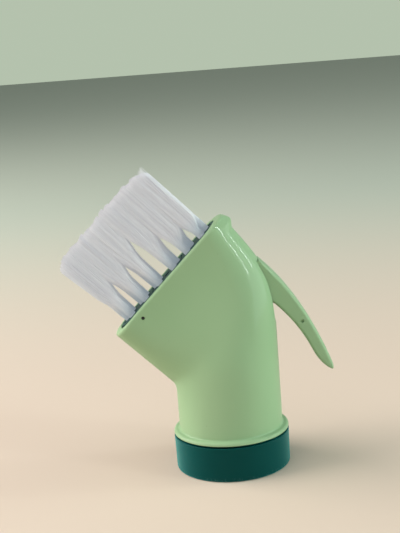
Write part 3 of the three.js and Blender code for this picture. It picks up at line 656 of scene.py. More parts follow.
def back_line():
    """Points down the outside of the elbow's back, from the start of the bend to the mouth."""
    lean = MOUTH_LEAN - BACK_FLARE
    start = Vector((neck_radius, 0, BACK_LEAN_START))
    start_pull = start + Vector((0, 0, BACK_PULLS[0]))
    end_pull = mouth_top + Vector((math.sin(lean), 0, -math.cos(lean))) * BACK_PULLS[1]
    straight = [Vector((neck_radius, 0, bend_centre.z)).lerp(start, i / STRAIGHT_STATIONS)
                for i in range(STRAIGHT_STATIONS)]
    fine = bezier(start, start_pull, end_pull, mouth_top, BACK_SAMPLES)
    shares = [1 - (1 - i / BACK_STATIONS) ** MOUTH_CROWDING for i in range(BACK_STATIONS)]
    return straight + [fine[int(share * BACK_SAMPLES)] for share in shares] + [mouth_top]


def head_stations():
    found = []
    for point in back_line():
        arm = point - bend_centre
        lean = min(math.atan2(arm.z, arm.x), MOUTH_LEAN)
        axis = Vector((math.cos(lean), 0, math.sin(lean)))
        run = arm.dot(out_of_mouth) if lean == MOUTH_LEAN else 0
        under = bend_centre + axis * UNDER_BEND_RADIUS + out_of_mouth * run
        found.append((under.lerp(point, 0.5), axis, (point - under).length / 2, run))
    reach = [0]
    for (middle, *_), (next_middle, *_) in zip(found, found[1:]):
        reach.append(reach[-1] + (next_middle - middle).length)
    shares = [soft_step(length / reach[-1]) for length in reach]
    return [Station(middle, axis, half, neck_radius + (MOUTH_WIDTH / 2 - neck_radius) * share, share, run)
            for (middle, axis, half, run), share in zip(found, shares)]


stations = head_stations()
print(len(stations), "stations")

# %% Draw a section
RING_POINTS = 144
WALL = 2.6 * MM


def section(half_length, half_width, blend):
    """Points round a section, from an ellipse (blend 0) to an oblong with round ends (blend 1)."""
    end_points, side_points = RING_POINTS // 3, RING_POINTS // 6
    half_points = end_points + side_points
    flat = half_length - half_width
    points = []
    for sign in (1, -1):
        for i in range(half_points):
            turn = min(i / end_points - 0.5, 0.5) * math.pi
            slide = max(i - end_points, 0) / side_points
            oblong = Vector((
                flat * (1 - 2 * slide) + half_width * math.cos(turn), half_width * math.sin(turn)))
            angle = (i / half_points - 1 / 3) * math.pi
            ellipse = Vector((half_length * math.cos(angle), half_width * math.sin(angle)))
            points.append(sign * ellipse.lerp(oblong, blend))
    return points


def head_ring(station, inset=0, out=0, end_inset=None):
    """The points round a station, drawn in by an inset, which may differ at the section's ends."""
    ends = inset if end_inset is None else end_inset
    points = section(station.half_length - ends, station.half_width - inset, station.blend)
    middle = station.middle + out_of_mouth * out
    return [middle + station.axis * x + Vector((0, y, 0)) for x, y in points]


inner_mouth = head_ring(stations[-1], WALL)
print("inside its wall the mouth is", round(2 * max(p.y for p in inner_mouth) / MM, 1), "mm wide")

# %% [markdown]
# ## Elbow head
# The head is one moulding: mouth rim, bend, neck, flange and the spigot that the collar snaps onto.
# It could be a skin given thickness by a modifier, but its wall steps in for the brush plate and for
# the valve's carrier. So one ring of points travels round the whole wall: out over the rim, down the
# outside, round the flange and spigot, and up the inside to where it began. The next cells draw these
# stretches one after another. The first is the outside, with a low boss at the mouth's upper end that
# covers the hook of the brush plate. It could be a piece of its own, but on the real brush it is one
# with the head, so the outside's rings are lifted there.

# %% Raise the boss on the outside
BOSS_RISE = 1.75 * MM
BOSS_PEAK = 4.2 * MM  # behind the mouth
BOSS_FALL = 3.0 * MM
BOSS_HALF_WIDTH = 9.0 * MM


def boss_lift(behind, y):
    """How far the boss stands up at a distance behind the mouth and off the middle."""
    if behind < BOSS_PEAK:
        height = soft_step(max(behind, 0) / BOSS_PEAK)
    else:
        height = soft_step(max(1 - (behind - BOSS_PEAK) / BOSS_FALL, 0))
    return BOSS_RISE * height * soft_step(max(1 - abs(y) / BOSS_HALF_WIDTH, 0))


def outside_ring(station):
    behind = head_length - station.run
    lifted = []
    for point in head_ring(station):
        upper = (point - station.middle).dot(station.axis) > 0
        lift = boss_lift(behind, point.y) if upper and station.run else 0
        lifted.append(point + station.axis * lift)
    return lifted


print("the boss is", round((BOSS_PEAK + BOSS_FALL) / MM, 1), "mm long")

# %% [markdown]
# ## The mouth's rim
# The rim is a narrow lip beside the brush plate and a wider one at both ends, and its round outer edge
# catches the light. A Bevel would round it too, but its width can't change along the way. Rings that
# are drawn in along a quarter circle, further at the ends than at the sides, give the real shape.

# %% Round the mouth's rim
RIM_WALL = 1.8 * MM
RIM_END = 3.8 * MM  # the rim is wider at the mouth's ends
RIM_ROUND = 1.2 * MM
RIM_END_ROUND = 2.6 * MM
RIM_STEPS = 6
RIM_EDGE = 0.25 * MM
PLATE_POCKET = 5.5 * MM
mouth = stations[-1]


def rim_rings():
    """Out of the pocket for the brush plate, over the rim and onto the outside."""
    rings = [
        head_ring(mouth, RIM_WALL, -PLATE_POCKET, RIM_END),
        head_ring(mouth, RIM_WALL, -RIM_EDGE, RIM_END),
        head_ring(mouth, RIM_WALL - RIM_EDGE, 0, RIM_END - RIM_EDGE),
    ]
    for step in range(RIM_STEPS + 1):
        turn = math.pi / 2 * step / RIM_STEPS
        drop, draw = math.cos(turn) - 1, 1 - math.sin(turn)
        rings.append(head_ring(mouth, RIM_ROUND * draw, RIM_ROUND * drop, RIM_END_ROUND * draw))
    return rings


print("the rim takes", len(rim_rings()), "rings")

# %% [markdown]
# ## Flange and spigot
# Under the bend the head is a turned part: a flange above the collar, a spigot with a groove for the
# collar's snap bead, and a ledge inside for the valve's carrier. An outline with a rounding at each
# corner says all of that in a few points, where a primitive would need many cuts.

# %% Draw the flange and the spigot
FLANGE_HEIGHT = 1.25 * MM
FLANGE_ROUND = 1.1 * MM
FLANGE_FILLET = 0.7 * MM
FLANGE_FOOT_ROUND = 0.1 * MM
SEAM = 0.95 * MM  # under the flange, where the collar turns
SPIGOT_RADIUS = 19.2 * MM
SPIGOT_BORE = 16.4 * MM
SPIGOT_ROUNDS = (0.4 * MM, 0.2 * MM)  # outside and inside, at its foot
GROOVE_LEVEL = 6 * MM
GROOVE_HALF = 0.6 * MM
GROOVE_DEPTH = 0.6 * MM
LEDGE_WIDTH = 1.3 * MM
LEDGE_HEIGHT = 1.2 * MM
CARRIER_DISC = 3 * MM  # thick, under the ledge
CLEARANCE = 0.3 * MM
collar_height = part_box("base_collar")[1].z
spigot_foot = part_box("elbow_body")[0].z
ledge_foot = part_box("valve_carrier")[0].z + CARRIER_DISC + CLEARANCE


def neck_outline():
    """Down the neck, round the flange and the spigot, and up the bore to the carrier's ledge."""
    flange_foot = collar_height + SEAM
    flange_top = flange_foot + FLANGE_HEIGHT
    groove = SPIGOT_RADIUS - GROOVE_DEPTH
    ledge = SPIGOT_BORE - LEDGE_WIDTH
    open_corners = [
        (neck_radius, bend_centre.z, 0),
        (neck_radius, flange_top, FLANGE_FILLET),
        (flange_radius, flange_top, FLANGE_ROUND),
        (flange_radius, flange_foot, FLANGE_FOOT_ROUND),
        (SPIGOT_RADIUS, flange_foot, 0),
        (SPIGOT_RADIUS, GROOVE_LEVEL + GROOVE_HALF + GROOVE_DEPTH, 0),
        (groove, GROOVE_LEVEL + GROOVE_HALF, 0),
        (groove, GROOVE_LEVEL - GROOVE_HALF, 0),
        (SPIGOT_RADIUS, GROOVE_LEVEL - GROOVE_HALF - GROOVE_DEPTH, 0),
        (SPIGOT_RADIUS, spigot_foot, SPIGOT_ROUNDS[0]),
        (SPIGOT_BORE, spigot_foot, SPIGOT_ROUNDS[1]),
        (SPIGOT_BORE, ledge_foot, 0),
        (ledge, ledge_foot, 0),
        (ledge, ledge_foot + LEDGE_HEIGHT, 0),
        (neck_radius - WALL, ledge_foot + LEDGE_HEIGHT, 0),
    ]
    return rounded(open_corners)


print("the neck's outline has", len(neck_outline()), "points")

# %% [markdown]
# ## The whole wall
# Now the stretches are put in order and lofted. The rings could be bridged one pair at a time, but
# extruding one ring from place to place keeps its points in step. The last ring is the first one
# again, so the wall closes on itself.

# %% Run a ring round the wall of the head
POCKET_SLOPE = 0.8 * MM  # the ledge under the brush plate
RIM_GAP = 0.1 * MM  # least way from the rim's last ring to the next


def neck_ring(radius, level):
    return [Vector((x, y, level)) for x, y in section(radius, radius, 0)]


def head_rings():
    behind_rim = [s for s in stations if s.run < head_length - RIM_ROUND - RIM_GAP]
    below_pocket = [s for s in stations if s.run < head_length - PLATE_POCKET - 2 * POCKET_SLOPE]
    pocket_floor = head_ring(mouth, WALL, -PLATE_POCKET - POCKET_SLOPE)
    return [
        pocket_floor,
        *rim_rings(),
        *[outside_ring(station) for station in reversed(behind_rim)],
        *[neck_ring(radius, level) for radius, level in neck_outline()[1:]],
        *[head_ring(station, WALL) for station in below_pocket],
        pocket_floor,
    ]


elbow_shell = loft("elbow_shell", head_rings())
print(elbow_shell.name, len(elbow_shell.data.polygons), "faces before its cuts")

# %% [markdown]
# ## Softer flanks
# The stations fan out from one corner under the bend, and that leaves a fold up both flanks, where
# the real moulding flows. A Smooth modifier eases it. Used on the whole head it would also melt the
# flange and the outline of the bend, so a vertex group keeps it to the flanks.

# %% Ease the fold on the flanks
FLANK_REACH = 34 * MM  # from the corner under the bend
FLANK_START = 2 * MM  # off the middle, where the bend's outline stays as it is
FLANK_FOOT = (17 * MM, 24 * MM)  # the softening begins between these levels, above the flange
FLANK_PASSES = 400


def soften_bend(piece):
    corner = bend_centre + along_mouth * UNDER_BEND_RADIUS
    flanks = piece.vertex_groups.new(name="flanks")
    for vertex in piece.data.vertices:
        away = math.hypot(vertex.co.x - corner.x, vertex.co.z - corner.z)
        near = soft_step(max(1 - away / FLANK_REACH, 0))
        beside = rise(abs(vertex.co.y), FLANK_START, 2 * FLANK_START)
        above = rise(vertex.co.z, *FLANK_FOOT)
        flanks.add([vertex.index], near * beside * above, "REPLACE")
    apply_modifier(piece, "SMOOTH", factor=0.5, iterations=FLANK_PASSES, vertex_group=flanks.name)
    piece.vertex_groups.clear()


soften_bend(elbow_shell)
print("flanks eased in", FLANK_PASSES, "passes")

# %% [markdown]
# ## Cuts in the head
# The lever passes through a slot in the back, and a pin through the mouth's side keeps the brush
# plate in. Both are openings that a mould's slide would leave. A Boolean with a tool of the right
# shape cuts them cleanly through the curved wall, with round corners in the slot.

# %% Cut the slot and the pin's hole
SLOT_GAP = 0.4 * MM
SLOT_TOP = 79.4 * MM
SLOT_TOP_CORNER = 3.0 * MM
SLOT_FOOT = 54.4 * MM
SLOT_FOOT_CORNER = 4.4 * MM
SLOT_MARGIN = 2 * MM  # the tool starts this far from the pivot and ends this far past the flange
PIN_HOLE_RADIUS = 0.68 * MM
pivot = Vector(joints["trigger_press"]["pos_m"])
lever_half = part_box("trigger")[1].y
plate_pin_low, plate_pin_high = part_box("plate_pin")
plate_pin = (plate_pin_low + plate_pin_high) / 2


def slot_tool():
    half = lever_half + SLOT_GAP
    outline = rounded([
        (-half, SLOT_FOOT, SLOT_FOOT_CORNER),
        (half, SLOT_FOOT, SLOT_FOOT_CORNER),
        (half, SLOT_TOP, SLOT_TOP_CORNER),
        (-half, SLOT_TOP, SLOT_TOP_CORNER),
    ])
    ends = (pivot.x + SLOT_MARGIN, flange_radius + SLOT_MARGIN)
    return loft("slot_tool", [[Vector((x, y, z)) for y, z in outline] for x in ends])


combine(elbow_shell, slot_tool(), "DIFFERENCE")
pin_tool = rod_across("pin_tool", PIN_HOLE_RADIUS, plate_pin.x, plate_pin.z, -MOUTH_WIDTH, MOUTH_WIDTH)
combine(elbow_shell, pin_tool, "DIFFERENCE")
smooth(elbow_shell)
dress(elbow_shell, shell_green, "head", "green_shell", "elbow_body")

# %% [markdown]
# ## Screw collar
# The collar is a turned shape: a skirt round the head's spigot, a floor, and an inner socket with the
# screw thread for the bottle. It could be spun from its outline. Here a circle is extruded from
# corner to corner of that outline, which comes to the same and keeps the rings even. The seam above
# the skirt is a dark line on the real brush. A plain gap would show the green spigot, so a trench and
# a lip stand behind the skirt's edge.

# %% Turn the collar
COLLAR_TAPER = 0.2 * MM
SKIRT_WALL = 2.5 * MM
SKIRT_ROUND = 0.2 * MM
FOOT_ROUND = 0.8 * MM
TOP_ROUND = 0.2 * MM
TOP_WALL = 0.45 * MM
TRENCH_DEPTH = 1.0 * MM
TRENCH_REACH = 1.5 * MM  # in from the skirt's outside
TRENCH_ROUND = 0.1 * MM
LIP_RISE = 0.7 * MM
BEAD_HEIGHT = 0.6 * MM
BEAD_ROUND = 0.15 * MM
COLLAR_FLOOR = 2.2 * MM
FLOOR_ROUND = 0.4 * MM
SOCKET_RADIUS = 13.95 * MM
SOCKET_WALL = 1.95 * MM
SOCKET_TOP = 12.95 * MM
SOCKET_TOP_ROUND = 0.2 * MM
SOCKET_FOOT_ROUND = 0.6 * MM
COLLAR_POINTS = 144


def collar_outline():
    skirt = flange_radius - SKIRT_WALL
    trench = flange_radius - TRENCH_REACH
    edge = flange_radius - TOP_WALL
    lip_top = collar_height + LIP_RISE
    socket = SOCKET_RADIUS + SOCKET_WALL
    bead_half = GROOVE_HALF - CLEARANCE
    return rounded([
        (SOCKET_RADIUS, 0, SOCKET_FOOT_ROUND),
        (flange_radius - COLLAR_TAPER, 0, FOOT_ROUND),
        (flange_radius, collar_height, TOP_ROUND),
        (edge, collar_height, TRENCH_ROUND),
        (edge, collar_height - TRENCH_DEPTH, 0),
        (trench, collar_height - TRENCH_DEPTH, 0),
        (trench, lip_top, TRENCH_ROUND),
        (skirt, lip_top, SKIRT_ROUND),
        (skirt, GROOVE_LEVEL + bead_half + BEAD_HEIGHT, 0),
        (skirt - BEAD_HEIGHT, GROOVE_LEVEL + bead_half, BEAD_ROUND),
        (skirt - BEAD_HEIGHT, GROOVE_LEVEL - bead_half, BEAD_ROUND),
        (skirt, GROOVE_LEVEL - bead_half - BEAD_HEIGHT, 0),
        (skirt, COLLAR_FLOOR, FLOOR_ROUND),
        (socket, COLLAR_FLOOR, FLOOR_ROUND),
        (socket, SOCKET_TOP, SOCKET_TOP_ROUND),
        (SOCKET_RADIUS, SOCKET_TOP, SOCKET_TOP_ROUND),
    ])


screw_collar = turned("screw_collar", collar_outline(), COLLAR_POINTS)
print(screw_collar.name, len(screw_collar.data.polygons), "faces before its thread")

# %% [markdown]
# ## Screw thread
# The thread is a ridge that climbs round the inside of the socket. A Screw modifier could sweep it,
# but a ridge lofted along a helix sits just deep enough in the wall to be joined on by a Boolean.

# %% Run the thread round the socket
THREAD_PITCH = 2.7 * MM
THREAD_TURNS = 2.75
THREAD_DEPTH = 1.0 * MM
THREAD_SINK = 0.25 * MM  # into the socket's wall
THREAD_ROOT = 1.9 * MM
THREAD_CREST = 0.7 * MM
THREAD_START = 1.95 * MM
THREAD_STEPS = 64  # a turn


def thread_ridge():
    profile = [
        (THREAD_SINK, -THREAD_ROOT / 2),
        (-THREAD_DEPTH, -THREAD_CREST / 2),
        (-THREAD_DEPTH, THREAD_CREST / 2),
        (THREAD_SINK, THREAD_ROOT / 2),
    ]
    rings = []
    for step in range(round(THREAD_TURNS * THREAD_STEPS) + 1):
        turn = step / THREAD_STEPS
        spoke = Vector((math.cos(2 * math.pi * turn), math.sin(2 * math.pi * turn), 0))
        level = THREAD_START + turn * THREAD_PITCH
        rings.append([spoke * (SOCKET_RADIUS + out) + Vector((0, 0, level + up)) for out, up in profile])
    return loft("thread_ridge", rings)


combine(screw_collar, thread_ridge(), "UNION")
smooth(screw_collar)
dress(screw_collar, collar_teal, "collar", "dark_teal", "base_collar")

# %% [markdown]
# ## Bottle seal
# A soft silicone washer lies under the roof of the socket, and the bottle's lip presses into it. It
# is a flat ring with round edges and a shallow groove where the lip has bedded in, turned like the
# collar.

# %% Turn the seal
SEAL_BORE = 9.5 * MM
SEAL_ROUND = 0.35 * MM
LIP_GROOVE = 0.25 * MM  # deep
LIP_GROOVE_SIDES = (1.2 * MM, 0.8 * MM)  # from the bore and from the edge
LIP_GROOVE_SLOPE = 0.3 * MM
seal_low, seal_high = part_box("bottle_seal")
groove_start = SEAL_BORE + LIP_GROOVE_SIDES[0]
groove_end = seal_high.y - LIP_GROOVE_SIDES[1]
seal_corners = [
    (SEAL_BORE, seal_low.z, SEAL_ROUND),
    (groove_start, seal_low.z, 0),
    (groove_start + LIP_GROOVE_SLOPE, seal_low.z + LIP_GROOVE, 0),
    (groove_end - LIP_GROOVE_SLOPE, seal_low.z + LIP_GROOVE, 0),
    (groove_end, seal_low.z, 0),
    (seal_high.y, seal_low.z, SEAL_ROUND),
    (seal_high.y, seal_high.z, SEAL_ROUND),
    (SEAL_BORE, seal_high.z, SEAL_ROUND),
]
seal_washer = turned("seal_washer", rounded(seal_corners), COLLAR_POINTS)
smooth(seal_washer)
dress(seal_washer, milky_silicone, "collar", "clear_silicone", "bottle_seal")

# %% [markdown]
# ## Thumb lever
# The lever is a moulded channel: a back and two side walls, open on the inner side, with a hub for
# its pin and a nose that pushes the valve. It could be modelled from a box by bevels and bends. Its
# side view is what everyone sees, though, so that is drawn first, as one outline of smooth curves.

# %% Draw the lever's side view
LEVER_ROOT = Vector((-5.3, 7.3)) * MM
LEVER_ROOT_PULL = Vector((12.3, -11.2)) * MM
LEVER_TIP = Vector((21.1, -36.9)) * MM
LEVER_TIP_PULL = Vector((-5.6, 16)) * MM
LEVER_TIP_UNDER_PULL = Vector((-2, -0.5)) * MM
LEVER_TOE = Vector((13.3, -29.5)) * MM
LEVER_TOE_PULL = Vector((-3.4, 7.3)) * MM
LEVER_TOE_ROUND = 4.8 * MM
LEVER_HEEL = Vector((-0.35, -9.8)) * MM
LEVER_HEEL_PULL = Vector((7, -7)) * MM
HUB_RADIUS = 3.6 * MM
HUB_ARC = (200, 75)  # degrees
NOSE_RADIUS = 2 * MM
NOSE_ARC = (0, -180)
OUTER_STEPS = 44
TOE_STEPS = 16
INNER_STEPS = 26
ARC_STEPS = 12
TIP_CUT = 3  # points of both edges that the tip's rounding takes away
TIP_STEPS = 8
TIP_FULLNESS = 0.65
valve_low, valve_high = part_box("valve_stem")
valve_level = (valve_low.z + valve_high.z) / 2
lever_base = Vector((neck_radius, pivot.z))
hub = Vector((pivot.x, pivot.z))
nose = Vector((pivot.x, valve_level))


def arc(centre, radius, start, end):
    turns = [math.radians(start + (end - start) * i / ARC_STEPS) for i in range(ARC_STEPS + 1)]
    return [centre + radius * Vector((math.cos(a), math.sin(a))) for a in turns]


def lever_edge(steps):
    root, tip = lever_base + LEVER_ROOT, lever_base + LEVER_TIP
    return bezier(root, root + LEVER_ROOT_PULL, tip + LEVER_TIP_PULL, tip, steps)


def lever_outline():
    tip, toe, heel = (lever_base + place for place in (LEVER_TIP, LEVER_TOE, LEVER_HEEL))
    toe_turn = toe - LEVER_TOE_PULL.normalized() * LEVER_TOE_ROUND
    outer = lever_edge(OUTER_STEPS)
    under = bezier(tip, tip + LEVER_TIP_UNDER_PULL, toe_turn, toe, TOE_STEPS)[TIP_CUT:]
    first, last = outer[-TIP_CUT], under[0]
    return [
        *outer[:-TIP_CUT],
        *bezier(first, first.lerp(tip, TIP_FULLNESS), last.lerp(tip, TIP_FULLNESS), last, TIP_STEPS),
        *under,
        *bezier(toe, toe + LEVER_TOE_PULL, heel + LEVER_HEEL_PULL, heel, INNER_STEPS),
        heel,
        hub + Vector((HUB_RADIUS + NOSE_RADIUS / 2, heel.y + HUB_RADIUS - hub.y)),
        *arc(nose, NOSE_RADIUS, *NOSE_ARC),
        *arc(hub, HUB_RADIUS, *HUB_ARC),
    ]


print("the lever's outline has", len(lever_outline()), "points")

# %% [markdown]
# ## The lever's round edges
# The lever's edges are round to the thumb. The outline could be extruded across and bevelled, but a
# wide bevel folds over itself where the lever is thin. So the outline is lofted across, and it is
# drawn in step by step towards both sides, by less where there is less room.

# %% Loft the lever with round edges
LEVER_EDGE_ROUND = 1.2 * MM
LEVER_EDGE_STEPS = 6
ROOM_SHARE = 0.75  # of the largest circle that fits into the outline at a point
ROOT_POINTS = 5  # over these points from the lever's root the rounding begins
EVENING = range(-3, 4)  # neighbours over which the rounding is evened out


def inward_moves(outline):
    """For each point of an outline that runs clockwise, how far and which way it is drawn in."""
    count = len(outline)
    ways, rooms = [], []
    for i, here in enumerate(outline):
        run = (outline[(i + 1) % count] - outline[i - 1]).normalized()
        way = Vector((run.y, -run.x))
        gaps = [other - here for other in outline]
        circles = [gap.length_squared / gap.dot(way) / 2 for gap in gaps if gap.dot(way) > 0]
        ways.append(way)
        rooms.append(min(LEVER_EDGE_ROUND * min(i / ROOT_POINTS, 1), ROOM_SHARE * min(circles)))
    evened = [sum(rooms[(i + step) % count] for step in EVENING) / len(EVENING) for i in range(count)]
    return [way * min(room, even) for way, room, even in zip(ways, rooms, evened)]


def lever_rings():
    outline = lever_outline()
    moves = inward_moves(outline)
    near_rings, far_rings = [], []
    for step in range(LEVER_EDGE_STEPS + 1):
        turn = math.pi / 2 * step / LEVER_EDGE_STEPS
        drawn = [point + move * (1 - math.sin(turn)) for point, move in zip(outline, moves)]
        y = lever_half - LEVER_EDGE_ROUND * (1 - math.cos(turn))
        near_rings.append([Vector((x, -y, z)) for x, z in drawn])
        far_rings.append([Vector((x, y, z)) for x, z in drawn])
    return near_rings + far_rings[::-1]


thumb_lever = loft("thumb_lever", lever_rings())
print(thumb_lever.name, len(thumb_lever.data.polygons), "faces before its cuts")

# %% [markdown]
# ## Cuts in the lever
# A moulding is hollow where it can be, so that its walls cool evenly. The hollow on the inner side,
# the pin's bore and a small dimple on each side are cut by Booleans with plain tools, after the
# rounding, which leaves the cut edges crisp.

# %% Cut the lever's hollow, bore and dimples
LEVER_BACK_WALL = 1.8 * MM
LEVER_SIDE_WALL = 1.7 * MM
CHANNEL_SAMPLES = 100
CHANNEL_SPAN = slice(36, 86, 5)  # samples of the outer edge that the hollow runs along
CHANNEL_DEPTH = 12 * MM
PIN_BORE = 1.58 * MM
LEVER_DIMPLE = Vector((9.6, -17.1)) * MM
DIMPLE_RADIUS = 0.65 * MM
DIMPLE_DEPTH = 0.6 * MM


def channel_tool():
    edge = lever_edge(CHANNEL_SAMPLES)[CHANNEL_SPAN]
    roof = []
    for here, there in zip(edge, edge[1:]):
        run = (there - here).normalized()
        roof.append(here + Vector((run.y, -run.x)) * LEVER_BACK_WALL)
    length = LEVER_TIP - LEVER_HEEL
    down = Vector((length.y, -length.x)).normalized() * CHANNEL_DEPTH
    floor = [point + down for point in reversed(roof)]
    half = lever_half - LEVER_SIDE_WALL
    return plate_of("channel_tool", roof + floor, -half, half)


combine(thumb_lever, channel_tool(), "DIFFERENCE")
bore_tool = rod_across("bore_tool", PIN_BORE, hub.x, hub.y, -2 * lever_half, 2 * lever_half)
combine(thumb_lever, bore_tool, "DIFFERENCE")
dimple = lever_base + LEVER_DIMPLE
for side in (-1, 1):
    floor_y, open_y = sorted((side * (lever_half - DIMPLE_DEPTH), side * 2 * lever_half))
    dimple_tool = rod_across("dimple_tool", DIMPLE_RADIUS, dimple.x, dimple.y, floor_y, open_y)
    combine(thumb_lever, dimple_tool, "DIFFERENCE")
smooth(thumb_lever)
dress(thumb_lever, shell_green, "lever", "green_shell", "trigger")

# %% [markdown]
# ## Places of the tufts
# The tufts stand in three rows of six, set in three short bars of the brush plate. Places along the
# slanted mouth could be worked out one by one. It is easier to count along the mouth, across it and
# out of it, and to turn that into a place once. The middle row stands apart at the centre, to leave
# the water its way out.

# %% Lay out the tufts
TUFT_ROWS = (-1, 0, 1)  # front, middle and back
TUFTS_PER_ROW = 6
TUFTS_PER_BAR = 2  # of each row
ROW_SPACING = 3 * MM
TUFT_PITCH = 8.2 * MM
SIDE_ROW_DRAW = 0.3 * MM  # the outer rows' tufts stand this much closer
MIDDLE_ROW_SPLIT = 1.75 * MM  # the middle row's halves stand this far out
BAR_NAMES = ("lower", "middle", "upper")


def mouth_point(s, y, h):
    """A place in the mouth's own directions: along it, across it and out of it."""
    return MOUTH_CENTRE + along_mouth * s + Vector((0, y, 0)) + out_of_mouth * h


def tuft_place(row, index):
    """Where a tuft stands, along the mouth and across it."""
    step = index - (TUFTS_PER_ROW - 1) / 2
    if row:
        return step * (TUFT_PITCH - SIDE_ROW_DRAW), row * ROW_SPACING
    return step * TUFT_PITCH + math.copysign(MIDDLE_ROW_SPLIT, step), 0


def bar_tufts(bar_index):
    first = bar_index * TUFTS_PER_BAR
    return [(row, index) for row in TUFT_ROWS for index in range(first, first + TUFTS_PER_BAR)]


print(len(BAR_NAMES), "bars of", len(bar_tufts(0)), "tufts")

# %% [markdown]
# ## Strip bars
# Each bar lies flush in the brush plate, and starts as a plain block with eased edges. Its six tuft
# holes could be painted dark, but then no rim would show. They are drilled through, and the middle
# bar also gets the water hole, so the rims show between the bristles as they do on the real brush.

# %% Model the strip bars
TUFT_ROOT_RADIUS = 1.45 * MM
HOLE_EASE = 0.05 * MM
HOLE_POINTS = 32
BAR_THICKNESS = 1.6 * MM
BAR_WIDTH = 9.4 * MM
BAR_EDGE = 0.2 * MM
BAR_CORNER = 0.4 * MM
BAR_END_STEPS = 8
PLATE_SINK = 0.2 * MM
WATER_HOLE_RADIUS = 1.3 * MM


def hole_tool(s, y, radius):
    turns = full_turn(HOLE_POINTS)
    rings = []
    for h in (-3 * BAR_THICKNESS, BAR_THICKNESS):
        rings.append([mouth_point(s + radius * math.cos(a), y + radius * math.sin(a), h) for a in turns])
    return loft("hole_tool", rings)


def strip_bar(bar_index):
    middle = (bar_index - 1) * TUFTS_PER_BAR * TUFT_PITCH
    half = TUFTS_PER_BAR * TUFT_PITCH / 2 - CLEARANCE / 2
    top = -PLATE_SINK
    rings = []
    for inset, h in ((0, top - BAR_THICKNESS), (0, top - BAR_EDGE), (BAR_EDGE, top)):
        long, wide = half - inset, BAR_WIDTH / 2 - inset
        corners = [(-long, -wide), (long, -wide), (long, wide), (-long, wide)]
        rounds = [wide - BAR_EDGE if s * middle > 0 else BAR_CORNER for s, _ in corners]
        outline = rounded([(*corner, size) for corner, size in zip(corners, rounds)], BAR_END_STEPS)
        rings.append([mouth_point(middle + s, y, h) for s, y in outline])
    bar = loft(f"strip_bar_{BAR_NAMES[bar_index]}", rings)
    for row, index in bar_tufts(bar_index):
        combine(bar, hole_tool(*tuft_place(row, index), TUFT_ROOT_RADIUS + HOLE_EASE), "DIFFERENCE")
    if middle == 0:
        combine(bar, hole_tool(0, 0, WATER_HOLE_RADIUS), "DIFFERENCE")
    smooth(bar)
    dress(bar, plate_teal, "head", "plate_teal")


for bar_index in range(len(BAR_NAMES)):
    strip_bar(bar_index)

# %% [markdown]
# ## The cut of the tips
# A brush is trimmed after its tufts are set, and with use the line of the tips gets slightly ragged:
# each clump of wires ends a little higher or lower, and the row's corners are rounded. If every wire
# ended by itself at random, the line would look like fur. So chance draws the clumps here, from a
# fixed seed, and every run gives the same brush.

# %% Cut the tips
BRISTLE_LENGTH = 33.2 * MM
END_DROPS = (2.9 * MM, 5.6 * MM)  # at the lower and the upper end of the row
END_DROP_POWERS = (22, 9)
SWELL = 0.2 * MM
SWELL_LENGTH = 10 * MM
CLUMP_COUNT = 40
CLUMP_STEP = 0.5 * MM
TIP_JITTER = 0.25 * MM
row_half = TUFTS_PER_ROW * TUFT_PITCH / 2
rng = random.Random(28)
clump_steps = [rng.uniform(-CLUMP_STEP, CLUMP_STEP) for _ in range(CLUMP_COUNT)]
clump_waves = [rng.uniform(-1, 1) for _ in range(CLUMP_COUNT)]


def tip_height(s, clump):
    """The length of a wire whose tip is at a place along the mouth."""
    drop = END_DROPS[s > 0] * min(abs(s) / row_half, 1) ** END_DROP_POWERS[s > 0]
    swell = SWELL * math.sin(2 * math.pi * s / SWELL_LENGTH)
    return BRISTLE_LENGTH - drop + swell + clump_steps[clump] + rng.uniform(-TIP_JITTER, TIP_JITTER)


print("the row's tips are", round(2 * row_half / MM, 1), "mm long")

# %% [markdown]
# ## The run of a wire
# A tuft is a few hundred nylon wires folded round an anchor and pressed into its hole. It leaves the
# hole as a round bundle and fans out until it meets its neighbours, so narrow gaps stay open between
# the roots. Straight wires would close those gaps too early. So each wire leans little at first, most
# where its gap ends, and little again towards its tip.

# %% Run a wire from its root to its tip
TUFT_WIRES = 230
SPOT_REACH = 0.97  # the outermost wire, as a share of the root's radius
BRISTLE_DEPTH = 10 * MM
ROOT_DEPTH = 1.2 * MM
TIP_BORDERS = [v * MM for v in (-24.6, -16.3, -7.9, 0.7, 8.8, 16.9, 23.7)]  # between tufts, at the tips
TIP_LAP = 0.9 * MM
TIP_SCATTER = 0.35 * MM
FRONT_SHIFT = 0.45 * MM  # of the front row's tips, along the mouth
GAP_TOPS = [v * MM for v in (22, 13.3, 13.6, 18.6, 10.3, 6.0, 18)]  # up to here each border stays open
SIDE_GAP_TOPS = [9 * MM, *GAP_TOPS[1:-1], 5 * MM]  # in the front and the back row
GAP_CLOSING = (0.55, 1.35)  # shares of a gap's height between which its wires lean most
DEPTH_LEAN = (2 * MM, 24 * MM)
GENTLE_LEAN = 0.35  # share of the lean that is even from root to tip
CLUMP_WIDTH = 1.5 * MM
CLUMP_SLANT = 0.3  # of a clump's width, from the row's middle to its side
WAVE = 0.2 * MM
WAVE_TURN = 5  # radians from root to tip
WAVE_PHASE = 0.4
WIRE_STOPS = (0, 0.07, 0.14, 0.21, 0.29, 0.37, 0.46, 0.56, 0.68, 0.82, 1)


def spread_square(u, v):
    """Carries a place in the unit disc to the unit square, so that full tufts meet along their sides."""
    def spread(a, b):
        base, reach = 2 + a * a - b * b, 2 * math.sqrt(2) * a
        return (math.sqrt(max(base + reach, 0)) - math.sqrt(max(base - reach, 0))) / 2
    return spread(u, v), spread(v, u)


def between(low, high, share):
    return low + (high - low) * share


